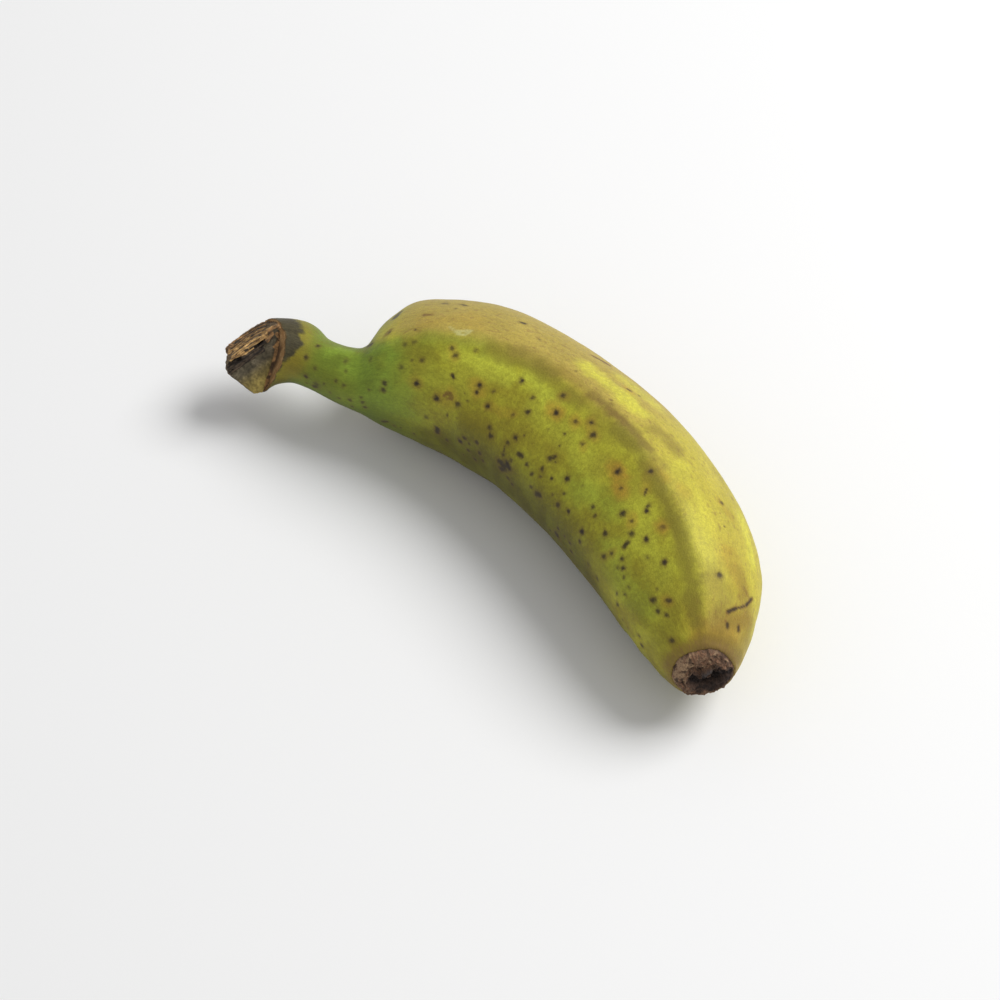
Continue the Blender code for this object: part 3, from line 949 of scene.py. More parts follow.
@dataclass(frozen=True)
class PeelFinish:
    """Half-ripe peel: satin, olive to yellow, green at the neck, with brown specks."""

    olive: Colour = (0.30, 0.260, 0.019)
    lime: Colour = (0.385, 0.375, 0.026)
    yellow: Colour = (0.475, 0.405, 0.048)
    tan: Colour = (0.40, 0.305, 0.058)
    green: Colour = (0.145, 0.205, 0.020)
    washes: tuple[tuple[Tint, Colour], ...] = (
        (Tint.LIME, (0.46, 0.48, 0.042)),
        (Tint.LEAF, (0.225, 0.325, 0.032)),
        (Tint.BROWN, (0.255, 0.185, 0.017)),
        (Tint.WARM, (0.40, 0.235, 0.026)),
        # Lemon yellow, also used as a painted highlight.
        (Tint.LIGHT, (0.61, 0.585, 0.054)),
        # Dark olive, also used as painted shade.
        (Tint.OLIVE_AND_PAINTED_SHADE, (0.20, 0.168, 0.018)),
        (Tint.RUB, (0.210, 0.148, 0.028)),
        (Tint.SCUFF, (0.17, 0.085, 0.022)),
    )
    late_washes: tuple[tuple[Tint, Colour], ...] = (
        (Tint.BRUISED, (0.050, 0.043, 0.029)),
        (Tint.PALE, (0.52, 0.50, 0.20)),
    )
    wash_grain: tuple[float, ...] = (0.3, 0.7, 0.82, 1.1)
    speck: Colour = (0.026, 0.017, 0.013)
    speck_strength: float = 0.94
    halo: Colour = (0.15, 0.095, 0.02)
    halo_strength: float = 0.6
    chafed: Colour = (0.22, 0.115, 0.042)
    chafed_strength: float = 0.42
    torn: Colour = (0.32, 0.175, 0.068)
    torn_light: Colour = (0.46, 0.285, 0.130)
    groove: Colour = (0.105, 0.062, 0.031)
    singed: Colour = (0.190, 0.112, 0.036)
    stalk: Colour = (0.215, 0.175, 0.020)
    collar: Colour = (0.036, 0.030, 0.019)
    collar_light: Colour = (0.056, 0.047, 0.028)
    collar_strength: float = 0.93
    # Painted shade: how much darker the underside field paints the peel's lower, hollow side.
    underside_shade: float = 0.62
    cloud_scale: float = 0.17
    cloud_tone: tuple[float, ...] = (0.25, 0.75, 0.94, 1.05)
    grain_scale: float = 1.3
    grain_tone: tuple[float, ...] = (0.25, 0.75, 0.91, 1.09)
    fleck_scale: float = 3.4
    fleck_tone: tuple[float, ...] = (0.25, 0.75, 0.88, 1.11)
    streak_stretch: Point = (0.12, 1.0, 1.0)
    streak_scale: float = 0.9
    streak_tone: tuple[float, ...] = (0.2, 0.8, 0.95, 1.04)
    chafe_stretch: Point = (0.45, 1.0, 1.0)
    chafe_scale: float = 1.9
    lump_scale: float = 700.0
    roughness: float = 0.46
    rough_grain: float = 0.12
    rough_wall: float = 0.3
    specular: float = 0.24
    relief: float = 0.00006
    relief_streaks: float = 0.7
    relief_specks: float = 0.4

    def make(self) -> bpy.types.Material:
        """Makes the peel's material from the fields that its mesh holds.

        Returns:
            The material.
        """
        sheet = NodeSheet("half_ripe_peel")
        skin = sheet.field("skin_place", "Vector")
        clouds = sheet.noise(skin, self.cloud_scale, 4.0)
        grain = sheet.noise(skin, self.grain_scale, 4.0)
        flecks = sheet.noise(skin, self.fleck_scale, 2.0)
        streaks = sheet.noise(sheet.stretched(skin, self.streak_stretch), self.streak_scale, 3.0)
        chafe = sheet.noise(sheet.stretched(skin, self.chafe_stretch), self.chafe_scale, 4.0)
        colour = self.ground(sheet, clouds, grain)
        rusty = sheet.times(sheet.step(chafe, 0.54, 0.68), sheet.field("ripe"))
        colour = sheet.mix(sheet.times(rusty, self.chafed_strength), colour, self.chafed)
        colour = self.washed(sheet, colour, grain, self.washes)
        streaked = sheet.step(sheet.plus(streaks, grain), 0.8, 1.2)
        dark = sheet.mix(streaked, self.collar, self.collar_light)
        colour = sheet.mix(sheet.times(sheet.field("collar"), self.collar_strength), colour, dark)
        colour = self.torn_edge(sheet, colour, grain)
        colour = self.washed(sheet, colour, grain, self.late_washes)
        tone = sheet.step(clouds, *self.cloud_tone)
        tone = sheet.times(tone, sheet.step(streaks, *self.streak_tone))
        tone = sheet.times(tone, sheet.step(grain, *self.grain_tone))
        tone = sheet.times(tone, sheet.step(flecks, *self.fleck_tone))
        # Painted shade: the peel is darkened towards its lower, hollow side, where shade falls.
        under = sheet.step(sheet.field("underside"), 0.0, 1.0, 1.0, 1 - self.underside_shade)
        colour = sheet.scaled(colour, sheet.times(tone, under))
        colour, dark = self.specked(sheet, colour, grain)
        singed = sheet.plus(sheet.field("scar_edge"), grain, 0.6)
        colour = sheet.mix(sheet.step(singed, 0.45, 1.15), colour, self.singed)
        rough = sheet.plus(self.roughness, grain, self.rough_grain)
        rough = sheet.plus(rough, sheet.field("torn_wall"), self.rough_wall)
        height = sheet.plus(flecks, streaks, self.relief_streaks)
        height = sheet.math("SUBTRACT", height, sheet.times(dark, self.relief_specks))
        sheet.bump(height, self.relief)
        return sheet.finish(colour, rough, self.specular)

    def ground(self, sheet: NodeSheet, clouds: Socket, grain: Socket) -> Socket:
        """The peel's colour before its marks.

        Args:
            sheet: The material's nodes.
            clouds: Broad noise on the skin.
            grain: Fine noise on the skin.

        Returns:
            Mottled olive in the hollow, yellow and tan on the back, green at the neck.
        """
        fine = sheet.swing(grain, 0.3)
        mottle = sheet.step(sheet.plus(clouds, fine), 0.34, 0.70)
        hollow = sheet.mix(mottle, self.olive, self.lime)
        drift = sheet.plus(sheet.math("SUBTRACT", clouds, 0.5), fine)
        ripe = sheet.plus(sheet.field("ripe"), drift, 0.5)
        colour = sheet.mix(sheet.step(ripe, 0.15, 0.9), hollow, self.yellow)
        tanned = sheet.plus(sheet.field("tanned"), drift, 0.8)
        colour = sheet.mix(sheet.step(tanned, 0.1, 0.9), colour, self.tan)
        colour = sheet.mix(sheet.field("neck"), colour, self.green)
        return sheet.mix(sheet.field("stalk_brown"), colour, self.stalk)

    def washed(
        self,
        sheet: NodeSheet,
        colour: Socket,
        grain: Socket,
        washes: tuple[tuple[Tint, Colour], ...],
    ) -> Socket:
        """Lays washes over the peel's colour.

        Args:
            sheet: The material's nodes.
            colour: The colour under them.
            grain: Fine noise, which makes them patchy.
            washes: The washes and their colours, in order.

        Returns:
            The colour with them.
        """
        for tint, paint in washes:
            patchy = sheet.step(grain, *self.wash_grain)
            laid = sheet.times(sheet.field(tint.value), patchy)
            colour = sheet.mix(sheet.math("MINIMUM", laid, 1.0), colour, paint)
        return colour

    def torn_edge(self, sheet: NodeSheet, colour: Socket, grain: Socket) -> Socket:
        """Lays the rim of the torn end over the peel's colour.

        Args:
            sheet: The material's nodes.
            colour: The colour under it.
            grain: Fine noise on the skin.

        Returns:
            The colour with the rim's groove and rust.
        """
        lumps = sheet.noise(sheet.object_place(), self.lump_scale, 4.0)
        patch = sheet.plus(lumps, grain, 0.15)
        rust = sheet.mix(sheet.step(patch, 0.48, 0.78), self.torn, self.torn_light)
        share = sheet.plus(sheet.field("wall_share"), lumps, 0.12)
        wall = sheet.mix(sheet.step(share, 0.50, 0.86), self.groove, rust)
        return sheet.mix(sheet.field("torn_wall"), colour, wall)

    def specked(
        self, sheet: NodeSheet, colour: Socket, grain: Socket
    ) -> tuple[Socket, Socket]:
        """Lays the specks over the peel's colour.

        Args:
            sheet: The material's nodes.
            colour: The colour under them.
            grain: Fine noise, which makes their edges ragged.

        Returns:
            The colour with them, and how much of a speck each point is.
        """
        away = sheet.plus(sheet.field("speck_distance"), sheet.swing(grain, 1.5))
        depth = sheet.field("speck_depth")
        faint = sheet.times(depth, self.halo_strength)
        halo = sheet.times(sheet.step(away, 2.9, 0.7), faint)
        colour = sheet.mix(halo, colour, self.halo)
        dark = sheet.times(sheet.step(away, 1.65, 0.3), depth)
        return sheet.mix(sheet.times(dark, self.speck_strength), colour, self.speck), dark


@dataclass(frozen=True)
class TornFinish:
    """Dry torn stalk: grey-brown faces, tan fibres and a black crack."""

    face: Colour = (0.088, 0.072, 0.044)
    grey: Colour = (0.112, 0.092, 0.060)
    edge: Colour = (0.29, 0.22, 0.062)
    bark: Colour = (0.165, 0.122, 0.076)
    tan: Colour = (0.54, 0.335, 0.130)
    tan_dark: Colour = (0.20, 0.108, 0.042)
    rust: Colour = (0.34, 0.185, 0.075)
    rust_dark: Colour = (0.105, 0.066, 0.036)
    splinter: Colour = (0.080, 0.056, 0.036)
    crack: Colour = (0.020, 0.015, 0.012)
    coarse_scale: float = 420.0
    coarse_tone: tuple[float, ...] = (0.3, 0.7, 0.75, 1.25)
    fine_scale: float = 1700.0
    fine_tone: tuple[float, ...] = (0.3, 0.7, 0.72, 1.28)
    uneven: float = 0.7
    roughness: float = 0.75
    specular: float = 0.25
    relief: float = 0.00025

    def make(self) -> bpy.types.Material:
        """Makes the torn end's material from the fields that its mesh holds.

        Returns:
            The material.
        """
        sheet = NodeSheet("torn_stalk")
        here = sheet.object_place()
        coarse = sheet.noise(here, self.coarse_scale, 4.0)
        fine = sheet.noise(here, self.fine_scale, 3.0)
        streaks = sheet.noise(sheet.field("fibre_place", "Vector"), 1.0, 4.0)
        swing = sheet.swing(coarse, self.uneven)
        pale = sheet.mix(sheet.step(coarse, 0.4, 0.75), self.face, self.grey)
        barked = sheet.mix(sheet.step(streaks, 0.40, 0.62), self.rust_dark, self.bark)
        rusty = sheet.mix(sheet.step(streaks, 0.38, 0.56), self.rust_dark, self.rust)
        splinters = sheet.mix(sheet.step(streaks, 0.42, 0.62), self.crack, self.splinter)
        torn = sheet.mix(sheet.step(coarse, 0.44, 0.58), self.rust_dark, self.rust)
        colour = sheet.mix(sheet.field("upper_face"), pale, barked)
        wide = sheet.times(swing, 0.5)
        colour = sheet.overlay(colour, self.edge, "low_edge", wide, (0.15, 1.0))
        colour = sheet.overlay(colour, rusty, "outline", swing, (0.35, 1.0))
        colour = sheet.overlay(colour, splinters, "crack", swing, (0.3, 0.7))
        colour = sheet.overlay(colour, torn, "groove", swing, (0.4, 0.85))
        for kind, dark, light in (
            (Fibre.DARK, self.crack, self.splinter),
            (Fibre.RUST, self.rust_dark, self.rust),
            (Fibre.TAN, self.tan_dark, self.tan),
        ):
            split = sheet.plus(streaks, swing, 0.35)
            paint = sheet.mix(sheet.step(split, 0.38, 0.60), dark, light)
            colour = sheet.overlay(colour, paint, kind.value, swing, (0.3, 0.75))
        tone = sheet.step(coarse, *self.coarse_tone)
        tone = sheet.times(tone, sheet.step(fine, *self.fine_tone))
        sheet.bump(sheet.plus(coarse, fine, 0.5), self.relief)
        return sheet.finish(sheet.scaled(colour, tone), self.roughness, self.specular)


@dataclass(frozen=True)
class ScarFinish:
    """Cork of the blossom scar: tan-brown, fissured, round a black hollow."""

    cork: Colour = (0.150, 0.090, 0.055)
    russet: Colour = (0.225, 0.118, 0.066)
    # Paler cork in patches, with a painted highlight that lays more of it on the scar's upper
    # side.
    pale_cork_and_highlight: Colour = (0.330, 0.215, 0.125)
    fissure: Colour = (0.046, 0.027, 0.019)
    heart: Colour = (0.088, 0.055, 0.041)
    # The hollows' near-black: their dark tissue, with painted shade for the shade inside them.
    hollow: Colour = (0.022, 0.015, 0.013)
    nub: Colour = (0.085, 0.070, 0.066)
    coarse_scale: float = 900.0
    fine_scale: float = 2400.0
    fine_tone: tuple[float, ...] = (0.25, 0.75, 0.72, 1.28)
    band_scale: float = 2.6
    uneven: float = 0.9
    roughness: float = 0.8
    specular: float = 0.25
    relief: float = 0.0003

    def make(self) -> bpy.types.Material:
        """Makes the scar's material from the fields that its mesh holds.

        Returns:
            The material.
        """
        sheet = NodeSheet("corky_blossom_scar")
        here = sheet.object_place()
        coarse = sheet.noise(here, self.coarse_scale, 4.0)
        fine = sheet.noise(here, self.fine_scale, 3.0)
        bands = sheet.noise(sheet.field("folds", "Vector"), self.band_scale, 4.0)
        swing = sheet.swing(coarse, self.uneven)
        colour = sheet.mix(sheet.step(bands, 0.40, 0.60), self.cork, self.russet)
        # Paler cork patches, made more common on the upper side by a painted highlight.
        pale_and_highlit = sheet.plus(coarse, sheet.field("painted_highlight_side"), 0.14)
        colour = sheet.mix(sheet.step(pale_and_highlit, 0.50, 0.68), colour, self.pale_cork_and_highlight)
        slight = sheet.times(swing, 0.8)
        colour = sheet.overlay(colour, self.heart, "heart", slight, (0.2, 0.9, 0.0, 0.85))
        pores = sheet.step(fine, 0.52, 0.68, 0.0, 0.7)
        colour = sheet.mix(pores, colour, self.fissure)
        colour = sheet.overlay(colour, self.fissure, "fissure", swing, (0.25, 1.0, 0.0, 0.85))
        colour = sheet.mix(sheet.field("nub"), colour, self.nub)
        # Partly painted shade: the pits are darker the deeper they are sunk.
        colour = sheet.overlay(colour, self.hollow, "pit", swing, (0.25, 1.0))
        tone = sheet.step(fine, *self.fine_tone)
        sheet.bump(sheet.plus(coarse, fine, 0.6), self.relief)
        return sheet.finish(sheet.scaled(colour, tone), self.roughness, self.specular)


@dataclass(frozen=True)
class FloorFinish:
    """Plain matte white floor."""

    white: Colour = (0.86, 0.86, 0.86)
    cloud_scale: float = 3.0
    cloud_tone: tuple[float, ...] = (0.2, 0.8, 0.99, 1.0)
    roughness: float = 0.9
    specular: float = 0.5

    def make(self) -> bpy.types.Material:
        """Makes the floor's material.

        Returns:
            The material.
        """
        sheet = NodeSheet("pale_floor")
        clouds = sheet.noise(sheet.object_place(), self.cloud_scale, 2.0)
        white = sheet.scaled(self.white, sheet.step(clouds, *self.cloud_tone))
        return sheet.finish(white, self.roughness, self.specular)


def closed_tube(sides: int, rings: int) -> bmesh.types.BMesh:
    """A tube of unit rings, one apart up Z, closed at both ends.

    Args:
        sides: Corners of each ring.
        rings: How many rings.

    Returns:
        The tube.
    """
    mesh = bmesh.new()
    bmesh.ops.create_cone(
        mesh, cap_ends=True, segments=sides, radius1=1.0, radius2=1.0, depth=rings - 1
    )
    upright = [edge for edge in mesh.edges if edge.verts[0].co.z != edge.verts[1].co.z]
    bmesh.ops.subdivide_edges(mesh, edges=upright, cuts=rings - 2)
    bmesh.ops.translate(mesh, verts=mesh.verts, vec=(0, 0, (rings - 1) / 2))
    bmesh.ops.recalc_face_normals(mesh, faces=mesh.faces)
    return mesh


class Surface:
    """A mesh that is being shaped, with its points at hand in millimetres."""

    def __init__(self, name: str, shape: bmesh.types.BMesh) -> None:
        """Takes over a bmesh.

        Args:
            name: The piece's name.
            shape: Its mesh, which is freed.
        """
        self.mesh = bpy.data.meshes.new(name)
        shape.to_mesh(self.mesh)
        shape.free()
        self.piece = bpy.data.objects.new(name, self.mesh)
        bpy.context.scene.collection.objects.link(self.piece)

    def points(self) -> np.ndarray:
        """Reads the mesh's points.

        Returns:
            Their places as they are now, one row each.
        """
        flat = np.empty(len(self.mesh.vertices) * 3, np.float32)
        self.mesh.vertices.foreach_get("co", flat)
        return flat.reshape(-1, 3).astype(float)

    def normals(self) -> np.ndarray:
        """Reads the mesh's normals.

        Returns:
            The way the surface faces at each point, one row each.
        """
        flat = np.empty(len(self.mesh.vertices) * 3, np.float32)
        self.mesh.vertex_normals.foreach_get("vector", flat)
        return flat.reshape(-1, 3).astype(float)

    def move(self, points: np.ndarray) -> None:
        """Puts the mesh's points elsewhere."""
        self.mesh.vertices.foreach_set("co", points.astype(np.float32).ravel())
        self.mesh.update()

    def tree(self) -> BVHTree:
        """Makes a search tree of the surface as it is now.

        Returns:
            The tree, for finding places on the surface.
        """
        shape = bmesh.new()
        shape.from_mesh(self.mesh)
        tree = BVHTree.FromBMesh(shape)
        shape.free()
        return tree

    def hold(self, name: str, values: np.ndarray) -> None:
        """Keeps a number or a position for each point, for the material to read.

        Args:
            name: The attribute's name.
            values: One number or one row for each point.
        """
        kind = "FLOAT" if values.ndim == 1 else "FLOAT_VECTOR"
        slot = "value" if values.ndim == 1 else "vector"
        attribute = self.mesh.attributes.new(name, kind, "POINT")
        attribute.data.foreach_set(slot, values.astype(np.float32).ravel())

    def finish(self, material: bpy.types.Material, slot: str) -> bpy.types.Object:
        """Dresses the piece and makes it ride with the fruit.

        Args:
            material: Its material.
            slot: The record's material slot; not used.

        Returns:
            The piece.
        """
        self.mesh.materials.append(material)
        self.mesh.shade_smooth()
        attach(self.piece, BODY)
        triangles = sum(len(face.vertices) - 2 for face in self.mesh.polygons)
        LOG.info("%s: %d triangles", self.piece.name, triangles)
        return self.piece


@dataclass
class PeelGrid:
    """The peel's points while it is shaped: their rings, angles, distances and places."""

    ring: np.ndarray
    degrees: np.ndarray
    along: np.ndarray
    points: np.ndarray


@dataclass(frozen=True)
class PeelZones:
    """Where the zones of the peel's colour begin and end.

    Angles are in degrees round the section. Lengths are in millimetres: along the guide,
    past the torn rim, or short of the blossom end.
    """

    back_above: Range = (98, 74)
    back_below: Range = (262, 290)
    ripe_end: float = 0.2
    ripe_end_from: float = 0.6
    tan_rise: Range = (32, 44)
    tan_fall: Range = (105, 80)
    tan_end: Range = (9, 1)
    tan_end_share: Range = (0.15, 0.6)
    neck_rise: Range = (1.5, 7.5)
    neck_fall: Range = (52, 33)
    neck_back: Range = (29, 37)
    neck_strength: float = 0.92
    brown: Range = (9.0, 3.0)
    brown_strength: float = 0.8
    collar_edge: Range = (0.6, -0.6)
    collar_rough: float = 0.8
    collar_fray: float = 0.5
    # The middle and under zones place the painted shade of the hollow side's lower part, strongest
    # along the middle of the fruit.
    middle_rise: Range = (35, 60)
    middle_fall: Range = (132, 100)
    under_rise: Range = (165, 212)
    under_wider: Range = (35, 30)
    under_fall: Range = (325, 280)
    under_strength: Range = (0.55, 0.45)
    scar_edge: Range = (2.4, 0.6)
    scar_edge_strength: float = 0.55
    scar_fold: Range = (3, 8)
    wall: Range = (0.5, -0.5)
    wall_depth: float = 9.0
    mean_radius: float = 16.0


@dataclass
class Peel:
    """The speckled skin, from the rim of the torn end to the fold round the scar."""

    sides: int = 256
    body_rings: int = 352
    relief: float = 0.10
    swell_waves: float = 0.11
    faint_waves: float = 0.45
    faint_share: float = 0.35
    relief_rise: Range = (0.0, 0.04)
    relief_fall: Range = (1.0, 0.97)
    rim_centre: float = 10.0
    rim_tear: float = 0.38
    rim_tear_share: float = 0.6
    rim_tear_waves: float = 0.55
    rim_lump_waves: float = 0.4
    rim_tear_rise: Range = (-8.5, -6.0)
    rim_tear_fall: Range = (4.0, 0.5)
    rim_lip: tuple[tuple[float, float], ...] = (
        (0.20, 0.6),
        (0.55, 0.5),
        (0.74, 0.30),
        (0.80, 0.22),
        (0.86, 0.12),
        (0.91, 0.05),
        (0.95, 0.0),
        (0.98, 0.04),
        (0.995, 0.14),
    )
    collar_width: tuple[tuple[float, float], ...] = (
        (0, 3.2),
        (45, 3.8),
        (100, 3.9),
        (128, 2.3),
        (141, 1.1),
        (152, 0.2),
        (205, 0.2),
        (230, 1.0),
        (270, 1.8),
        (320, 2.4),
        (360, 3.2),
    )
    scar_lip: tuple[tuple[float, float], ...] = (
        (0.16, 0.985),
        (0.34, 0.962),
        (0.50, 0.935),
        (0.62, 0.905),
        (0.68, 0.875),
        (0.66, 0.848),
        (0.54, 0.828),
        (0.30, 0.812),
        (-0.3, 0.80),
        (-1.3, 0.78),
        (-1.8, 0.50),
        (-1.8, 0.20),
    )
    scar_uneven: Range = (1.0, 0.88)
    zones: PeelZones = PeelZones()

    def rings(self) -> int:
        """How many rings the whole peel has."""
        return len(self.rim_lip) + self.body_rings + len(self.scar_lip)

    def body_share(self, ring: np.ndarray) -> np.ndarray:
        """How far down the peel's body each ring is, from 0 to 1."""
        return np.clip(ring / (self.body_rings - 1), 0.0, 1.0)

    def shape(self) -> Surface:
        """Shapes the peel's mesh, and keeps what its material reads.

        Returns:
            The peel, in metres.
        """
        surface = Surface("peel", closed_tube(self.sides, self.rings()))
        tube = surface.points()
        ring = np.rint(tube[:, 2]).astype(int) - len(self.rim_lip)
        degrees = angle_of(tube)
        start = FORM.rim_along(degrees)
        along = start + (FORM.length() - start) * self.body_share(ring)
        grid = PeelGrid(ring, degrees, along, FORM.skin(along, degrees))
        self.shape_rim(grid)
        self.shape_scar_fold(grid)
        self.weather(grid)
        grid.points[:, 2] = np.maximum(grid.points[:, 2], 0.0)
        surface.move(grid.points)
        self.keep_fields(surface, grid)
        SkinMarks().paint(surface, grid.points)
        SkinMarks().fleck(surface, grid.points)
        surface.move(grid.points * MM)
        return surface

    def shape_rim(self, grid: PeelGrid) -> None:
        """Turns the rings before the first into the ragged torn wall inside the rim.

        Args:
            grid: The peel's points.
        """
        normal = np.array(FORM.rim_normal)
        centre = FORM.guide(np.array([self.rim_centre]))[0][0]
        centre = centre - normal * ((centre - FORM.rim_point) @ normal)
        for i, (share, sunk) in enumerate(self.rim_lip):
            at = grid.ring == i - len(self.rim_lip)
            degrees = grid.degrees[at]
            rim = FORM.skin(FORM.rim_along(degrees), degrees)
            grid.points[at] = centre + (rim - centre) * share + normal * sunk
        near = band(self.rim_tear_fall, self.rim_tear_rise, grid.ring.astype(float))
        at = near > 0
        torn = roughness_at(grid.points[at], self.rim_tear_waves, 4)
        lumps = roughness_at(grid.points[at] + 30.0, self.rim_lump_waves)
        outward = grid.points[at] - centre
        outward /= np.linalg.norm(outward, axis=1, keepdims=True)
        aside = lumps * near[at] * self.rim_tear * self.rim_tear_share
        grid.points[at] += normal * (torn * near[at] * self.rim_tear)[:, None]
        grid.points[at] += outward * aside[:, None]

    def shape_scar_fold(self, grid: PeelGrid) -> None:
        """Turns the rings past the last into the fold of peel round the scar.

        Args:
            grid: The peel's points.
        """
        for i, (past, share) in enumerate(self.scar_lip):
            at = grid.ring == self.body_rings + i
            grid.along[at] = FORM.length() + past
            fading = smoothstep(*self.scar_uneven, np.array(share))
            uneven = (FORM.scar_edge(grid.degrees[at]) - 1) * fading
            reach = share * (1 + uneven)
            grid.points[at] = FORM.skin(grid.along[at], grid.degrees[at], reach)

    def weather(self, grid: PeelGrid) -> None:
        """Adds the shallow dents and swellings that a grown skin has.

        Args:
            grid: The peel's points.
        """
        outward = grid.points - FORM.guide(grid.along)[0]
        outward /= np.maximum(np.linalg.norm(outward, axis=1, keepdims=True), 1e-6)
        swell = roughness_at(grid.points, self.swell_waves, 2)
        faint = roughness_at(grid.points, self.faint_waves, 2)
        body = band(self.relief_rise, self.relief_fall, self.body_share(grid.ring))
        height = (swell + self.faint_share * faint) * body * self.relief
        grid.points += outward * height[:, None]

    def keep_fields(self, surface: Surface, grid: PeelGrid) -> None:
        """Keeps what the material reads: ripeness, zones, and the torn and scarred edges.

        Args:
            surface: The peel, in millimetres.
            grid: Its points.
        """
        zones, along, length = self.zones, grid.along, FORM.length()
        ring = grid.ring.astype(float)
        angle = np.radians(grid.degrees)
        shares = np.array([share for share, _ in self.rim_lip] + [1.0])
        share = shares[np.clip(grid.ring + len(self.rim_lip), 0, len(shares) - 1)]
        place = [
            along - zones.wall_depth * (1.0 - share),
            zones.mean_radius * np.cos(angle),
            zones.mean_radius * np.sin(angle),
        ]
        surface.hold("skin_place", np.stack(place, axis=-1))
        surface.hold("torn_wall", smoothstep(*zones.wall, ring))
        surface.hold("wall_share", share)
        turned = (grid.degrees + 360.0) % 360.0
        outer = smoothstep(*zones.back_above, turned) + smoothstep(*zones.back_below, turned)
        outer = np.clip(outer, 0, 1)
        late = zones.ripe_end * smoothstep(length * zones.ripe_end_from, length, along)
        surface.hold("ripe", outer + late * (1 - outer))
        end = smoothstep(length - zones.tan_end[0], length - zones.tan_end[1], along)
        end *= zones.tan_end_share[0] + zones.tan_end_share[1] * outer
        left = band(zones.tan_rise, zones.tan_fall, along)
        surface.hold("tanned", np.maximum(outer * left, end))
        past = along - FORM.rim_along(grid.degrees)
        neck = smoothstep(*zones.neck_rise, past) * smoothstep(*zones.neck_fall, along)
        neck *= 1 - zones.neck_strength * outer * smoothstep(*zones.neck_back, along)
        surface.hold("neck", zones.neck_strength * neck)
        surface.hold("stalk_brown", zones.brown_strength * smoothstep(*zones.brown, past))
        wide = np.interp(turned, *np.array(self.collar_width).T)
        rough = zones.collar_rough * roughness_at(surface.points(), 0.45, 4)
        fray = zones.collar_fray * roughness_at(surface.points() + 50.0, 1.3)
        surface.hold("collar", smoothstep(*zones.collar_edge, past - wide + rough + fray))
        # Painted shade: the underside field darkens the hollow side towards its lower edge, most
        # along the middle of the fruit.
        middle = band(zones.middle_rise, zones.middle_fall, along)
        rise = [at - wider * middle for at, wider in zip(zones.under_rise, zones.under_wider)]
        under = smoothstep(*rise, turned) * smoothstep(*zones.under_fall, turned)
        under *= zones.under_strength[0] + zones.under_strength[1] * middle
        surface.hold("underside", under)
        edge = smoothstep(length - zones.scar_edge[0], length + zones.scar_edge[1], along)
        fold = smoothstep(*(self.body_rings + past_last for past_last in zones.scar_fold), ring)
        surface.hold("scar_edge", np.maximum(zones.scar_edge_strength * edge, fold))

    def build(self) -> bpy.types.Object:
        """Finishes the peel, which stands for the whole fruit's solid.

        Returns:
            The piece.
        """
        piece = self.shape().finish(PeelFinish().make(), "peel")
        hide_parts(NODE)
        return piece


class Fibre(Enum):
    """A kind of torn fibre, by the attribute that holds where it is."""

    TAN = "fibre_tan"
    RUST = "fibre_rust"
    DARK = "fibre_dark"


@dataclass(frozen=True)
class Strand:
    """A torn fibre of the stalk: its line of photograph pixels, its radius and kind."""

    line: tuple[Pixel, ...]
    radius: float
    kind: Fibre = Fibre.TAN


# The torn fibres, read off the photograph: a line of pixels and a radius in millimetres
# each. The random draws follow their order.
STRAND_ROWS = (
    (Fibre.TAN, (
        (((232, 357), (237, 353), (244, 348), (250, 343), (257, 339), (264, 336)), 0.3),
        (((233, 353), (240, 348), (248, 343), (256, 338), (266, 334)), 0.22),
        (((238, 354), (245, 350), (252, 345), (260, 340), (268, 336)), 0.2),
        (((234, 348), (240, 346), (246, 344), (251, 341)), 0.2),
        (((236, 346), (243, 343), (249, 340)), 0.16),
        (((231, 361), (234, 358), (238, 356), (243, 353)), 0.24),
        (((241, 356), (245, 353), (249, 350)), 0.17),
        (((231, 350), (238, 345), (246, 340), (254, 334), (262, 329)), 0.18),
        (((240, 343), (248, 338), (257, 332), (265, 328)), 0.16),
        (((229, 353), (233, 350), (238, 348)), 0.28),
        (((246, 341), (254, 336), (263, 332), (270, 328)), 0.17),
        (((249, 348), (254, 345), (258, 342)), 0.18),
        (((262, 334), (267, 330), (272, 327)), 0.22),
    )),
    (Fibre.RUST, (
        (((226, 351), (228, 347), (232, 344)), 0.46),
    )),
    (Fibre.DARK, (
        (((225, 367), (229, 371)), 0.42),
    )),
    (Fibre.RUST, (
        (((262, 337), (269, 331), (274, 327), (279, 326), (282, 331)), 0.4),
        (((268, 341), (272, 334), (271, 329)), 0.3),
        (((277, 334), (281, 339), (283, 347), (282, 355)), 0.34),
        (((275, 346), (279, 350), (279, 358), (276, 365)), 0.24),
        (((234, 342), (243, 335), (254, 328), (265, 321), (274, 318)), 0.2),
    )),
    (Fibre.DARK, (
        (((238, 351), (245, 347), (252, 341), (259, 336)), 0.22),
        (((239, 355), (246, 350), (254, 345), (262, 339)), 0.26),
        (((243, 358), (250, 353), (258, 347), (266, 341), (272, 337)), 0.3),
        (((228, 369), (234, 366), (241, 362), (248, 357), (255, 354), (262, 349)), 0.34),
        (((231, 373), (238, 367), (246, 362), (253, 358)), 0.22),
        (((236, 342), (246, 336), (256, 330), (266, 326)), 0.24),
        (((234, 344), (243, 341), (252, 336), (261, 332)), 0.2),
        (((250, 331), (258, 326), (268, 322)), 0.24),
    )),
)
STRANDS = tuple(Strand(*row, kind) for kind, rows in STRAND_ROWS for row in rows)
LaidFibres = list[tuple[Strand, list[np.ndarray]]]


